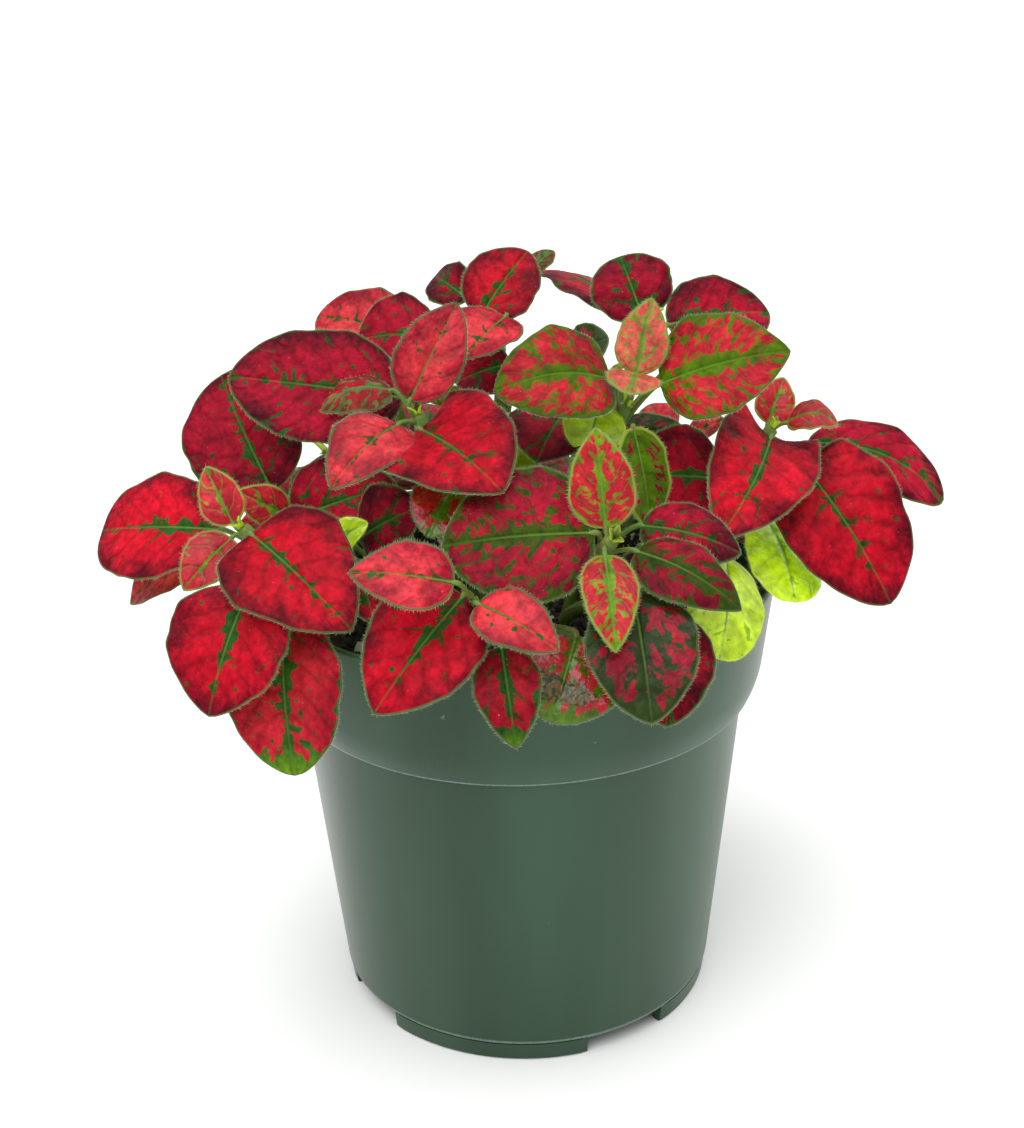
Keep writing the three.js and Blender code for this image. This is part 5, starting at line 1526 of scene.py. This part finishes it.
def add_floor(look):
    """A wide plain round floor under the feet: matt paint, seen as a soft white."""
    material, tree, shader = new_material("painted_floor")
    place = add(tree, "ShaderNodeTexCoord").outputs["Object"]
    soft = add(tree, "ShaderNodeTexNoise", {"Vector": place, "Scale": 3.0, "Detail": 2.0}).outputs[0]
    dim = rgba([c * 0.97 for c in look.floor])
    paint = add(tree, "ShaderNodeMix", {0: soft, 6: rgba(look.floor), 7: dim},
                data_type="RGBA").outputs[2]
    plug(tree, shader, {"Base Color": paint, "Roughness": 0.6, "Specular IOR Level": 0.2})
    ring = [(FLOOR_RADIUS * math.cos(a), FLOOR_RADIUS * math.sin(a), 0.0)
            for a in np.linspace(0, 2 * math.pi, FLOOR_SIDES, endpoint=False)]
    faces = [(0, 1 + k, 1 + (k + 1) % FLOOR_SIDES) for k in range(FLOOR_SIDES)]
    mesh_object("floor", [(0.0, 0.0, 0.0)] + ring, faces, [material])


def add_lights(look):
    """Two wide soft suns: the key over the left front, and a weaker one at the right and behind."""
    for name, strength, spread, toward in (
            ("key_light", look.key, KEY_SPREAD, KEY_TOWARD),
            ("back_light", look.fill, BACK_SPREAD, BACK_TOWARD)):
        lamp = bpy.data.lights.new(name, "SUN")
        lamp.energy = strength
        lamp.angle = math.radians(spread)
        light = bpy.data.objects.new(name, lamp)
        light.rotation_euler = Vector(toward).to_track_quat("-Z", "Y").to_euler()
        bpy.context.scene.collection.objects.link(light)


def add_camera(scene):
    """A short telephoto view from the front, a little above the leaves."""
    data = bpy.data.cameras.new("view")
    data.lens = CAMERA_LENS
    data.sensor_width = CAMERA_SENSOR
    camera = bpy.data.objects.new("view", data)
    away = [-value for value in CAMERA_FORWARD]
    camera.matrix_world = Matrix((
        (CAMERA_RIGHT[0], CAMERA_UP[0], away[0], CAMERA_PLACE[0]),
        (CAMERA_RIGHT[1], CAMERA_UP[1], away[1], CAMERA_PLACE[1]),
        (CAMERA_RIGHT[2], CAMERA_UP[2], away[2], CAMERA_PLACE[2]),
        (0.0, 0.0, 0.0, 1.0)))
    scene.collection.objects.link(camera)
    scene.camera = camera


# --------------------------------------------------------------------------------------- operators

class PLANT_OT_make_stage(bpy.types.Operator):
    """Set up the floor, the soft studio light and the camera"""

    bl_idname = "plant.make_stage"
    bl_label = "Stage"

    def execute(self, context):
        scene = context.scene
        look = scene.plant_stage
        add_floor(look)
        add_lights(look)
        world = bpy.data.worlds.new("room")
        world.use_nodes = True
        back = world.node_tree.nodes["Background"]
        back.inputs["Color"].default_value = (1.0, 1.0, 1.0, 1.0)
        back.inputs["Strength"].default_value = look.sky
        scene.world = world
        scene.view_settings.view_transform = "Standard"
        add_camera(scene)
        return {"FINISHED"}


class PLANT_OT_make_pot(bpy.types.Operator):
    """Make the moulded nursery pot with its rolled lip, band and feet"""

    bl_idname = "plant.make_pot"
    bl_label = "Pot"

    def execute(self, context):
        look = context.scene.plant_pot
        rows = rounded(pot_profile(look.rim_radius / MM, look.height / MM))
        points, faces, worn = lathe(rows, POT_SIDES, FLOOR_UNDER, FLOOR_TOP)
        parts = [(points, faces, 0)]
        for azimuth in FOOT_AZIMUTHS:
            foot_points, foot_faces = foot_parts(azimuth)
            parts.append((foot_points, foot_faces, 0))
            worn += [0.0] * len(foot_points)
        piece = joined_mesh("nursery_pot", parts, [plastic_material(look)])
        # Strength of the painted highlight where light catches the pot's edges.
        layer = piece.data.attributes.new("worn", "FLOAT", "POINT")
        layer.data.foreach_set("value", worn)
        piece.data.set_sharp_from_angle(angle=math.radians(SHARP_ANGLE))
        dressed(piece, "pot")
        return {"FINISHED"}


class PLANT_OT_make_soil(bpy.types.Operator):
    """Make the uneven soil and strew it with crumbs and perlite"""

    bl_idname = "plant.make_soil"
    bl_label = "Soil"

    def execute(self, context):
        look = context.scene.plant_pot
        points, faces, top_points, top_faces = soil_bed(
            SOIL_HIGH[2] / MM, (SOIL_HIGH[0] - SOIL_LOW[0]) / 2 / MM)
        peat = earth_material("damp_peat", look.soil, look.crumb, PEAT_GRAIN)
        bark = earth_material("bark_crumbs", look.crumb, look.soil, BARK_GRAIN)
        white = earth_material(
            "perlite", look.perlite, [c * PERLITE_SHADE for c in look.perlite], PERLITE_GRAIN)
        dressed(joined_mesh("soil_bed", [(points, faces, 0)], [peat]), "soil")
        top = bpy.data.meshes.new("soil_top")
        top.from_pydata([tuple(p) for p in top_points * MM], [], top_faces)
        tree = crumb_tree()
        for name, density, size, seed, material in (
                ("soil_crumbs", CRUMBS_PER_MM2, 1.0, 3, bark),
                ("soil_perlite", PERLITE_PER_MM2, PERLITE_SIZE, 8, white)):
            crumbs = grown(name, top.copy(), tree, {
                "Density": density / MM ** 2, "Size": look.crumb_size * size, "Seed": seed,
                "Material": material})
            dressed(crumbs, "soil")
        return {"FINISHED"}


class PLANT_OT_make_shoots(bpy.types.Operator):
    """Make the stems, stalks and blades of every leafy shoot"""

    bl_idname = "plant.make_shoots"
    bl_label = "Leafy shoots"

    def execute(self, context):
        look = context.scene.plant_leaves
        materials = {kind: blade_material(kind, recipe, look) for kind, recipe in BLADE_LOOKS.items()}
        stalk = stalk_material(look)
        for number, shoot in enumerate(SHOOTS):
            name = shoot["name"]
            dressed(make_stems(name + "_stems", shoot, stalk, number * 10), name)
            dressed(make_blades(name + "_blades", shoot, look, materials, number), name)
        return {"FINISHED"}


class PLANT_OT_make_down(bpy.types.Operator):
    """Grow the fine down along the leaf margins and over the stems"""

    bl_idname = "plant.make_down"
    bl_label = "Down"

    def execute(self, context):
        look = context.scene.plant_leaves
        material = down_material(look)
        on_edges, on_faces = down_tree(True), down_tree(False)
        for number, shoot in enumerate(SHOOTS):
            name = shoot["name"]
            blades = [blade_parts(blade_frame(leaf), number * 100 + i, look.thickness / MM,
                                  ROWS, HALF_COLUMNS) for i, leaf in enumerate(shoot["leaves"])]
            shared = {"Length": look.down_length, "Seed": number, "Material": material}
            fringe = grown(name + "_fringe", margin_mesh("margins", blades), on_edges, shared | {
                "Spacing": look.down_spacing, "Radius": MARGIN_HAIR * MM})
            stems = bpy.data.objects[name + "_stems"]
            fur = grown(name + "_down", stems.data.copy(), on_faces, shared | {
                "Density": STEM_HAIRS_PER_MM2 / MM ** 2, "Radius": STEM_HAIR * MM})
            for piece in (fringe, fur):
                dressed(piece, name)
        return {"FINISHED"}


class PLANT_PT_panel(bpy.types.Panel):
    """Lists the pieces of the plant in the order they are made"""

    bl_idname = "PLANT_PT_panel"
    bl_label = "Potted polka dot plant"
    bl_space_type = "VIEW_3D"
    bl_region_type = "UI"
    bl_category = "Plant"

    def draw(self, context):
        layout = self.layout
        for group in (context.scene.plant_pot, context.scene.plant_leaves, context.scene.plant_stage):
            box = layout.box()
            for name in group.bl_rna.properties.keys():
                if name not in ("rna_type", "name"):
                    box.prop(group, name)
        for step in STEPS:
            layout.operator(step.bl_idname)


STEPS = (PLANT_OT_make_stage, PLANT_OT_make_pot, PLANT_OT_make_soil, PLANT_OT_make_shoots,
         PLANT_OT_make_down)
CLASSES = (PotSettings, LeafSettings, StageSettings, *STEPS, PLANT_PT_panel)


def register():
    for item in CLASSES:
        bpy.utils.register_class(item)
    bpy.types.Scene.plant_pot = bpy.props.PointerProperty(type=PotSettings)
    bpy.types.Scene.plant_leaves = bpy.props.PointerProperty(type=LeafSettings)
    bpy.types.Scene.plant_stage = bpy.props.PointerProperty(type=StageSettings)


def unregister():
    for name in ("plant_pot", "plant_leaves", "plant_stage"):
        delattr(bpy.types.Scene, name)
    for item in reversed(CLASSES):
        bpy.utils.unregister_class(item)


def main():
    """Makes every piece in order."""
    register()
    bpy.ops.plant.make_stage()
    bpy.ops.plant.make_pot()
    bpy.ops.plant.make_soil()
    bpy.ops.plant.make_shoots()
    bpy.ops.plant.make_down()


if __name__ == "__main__":
    main()
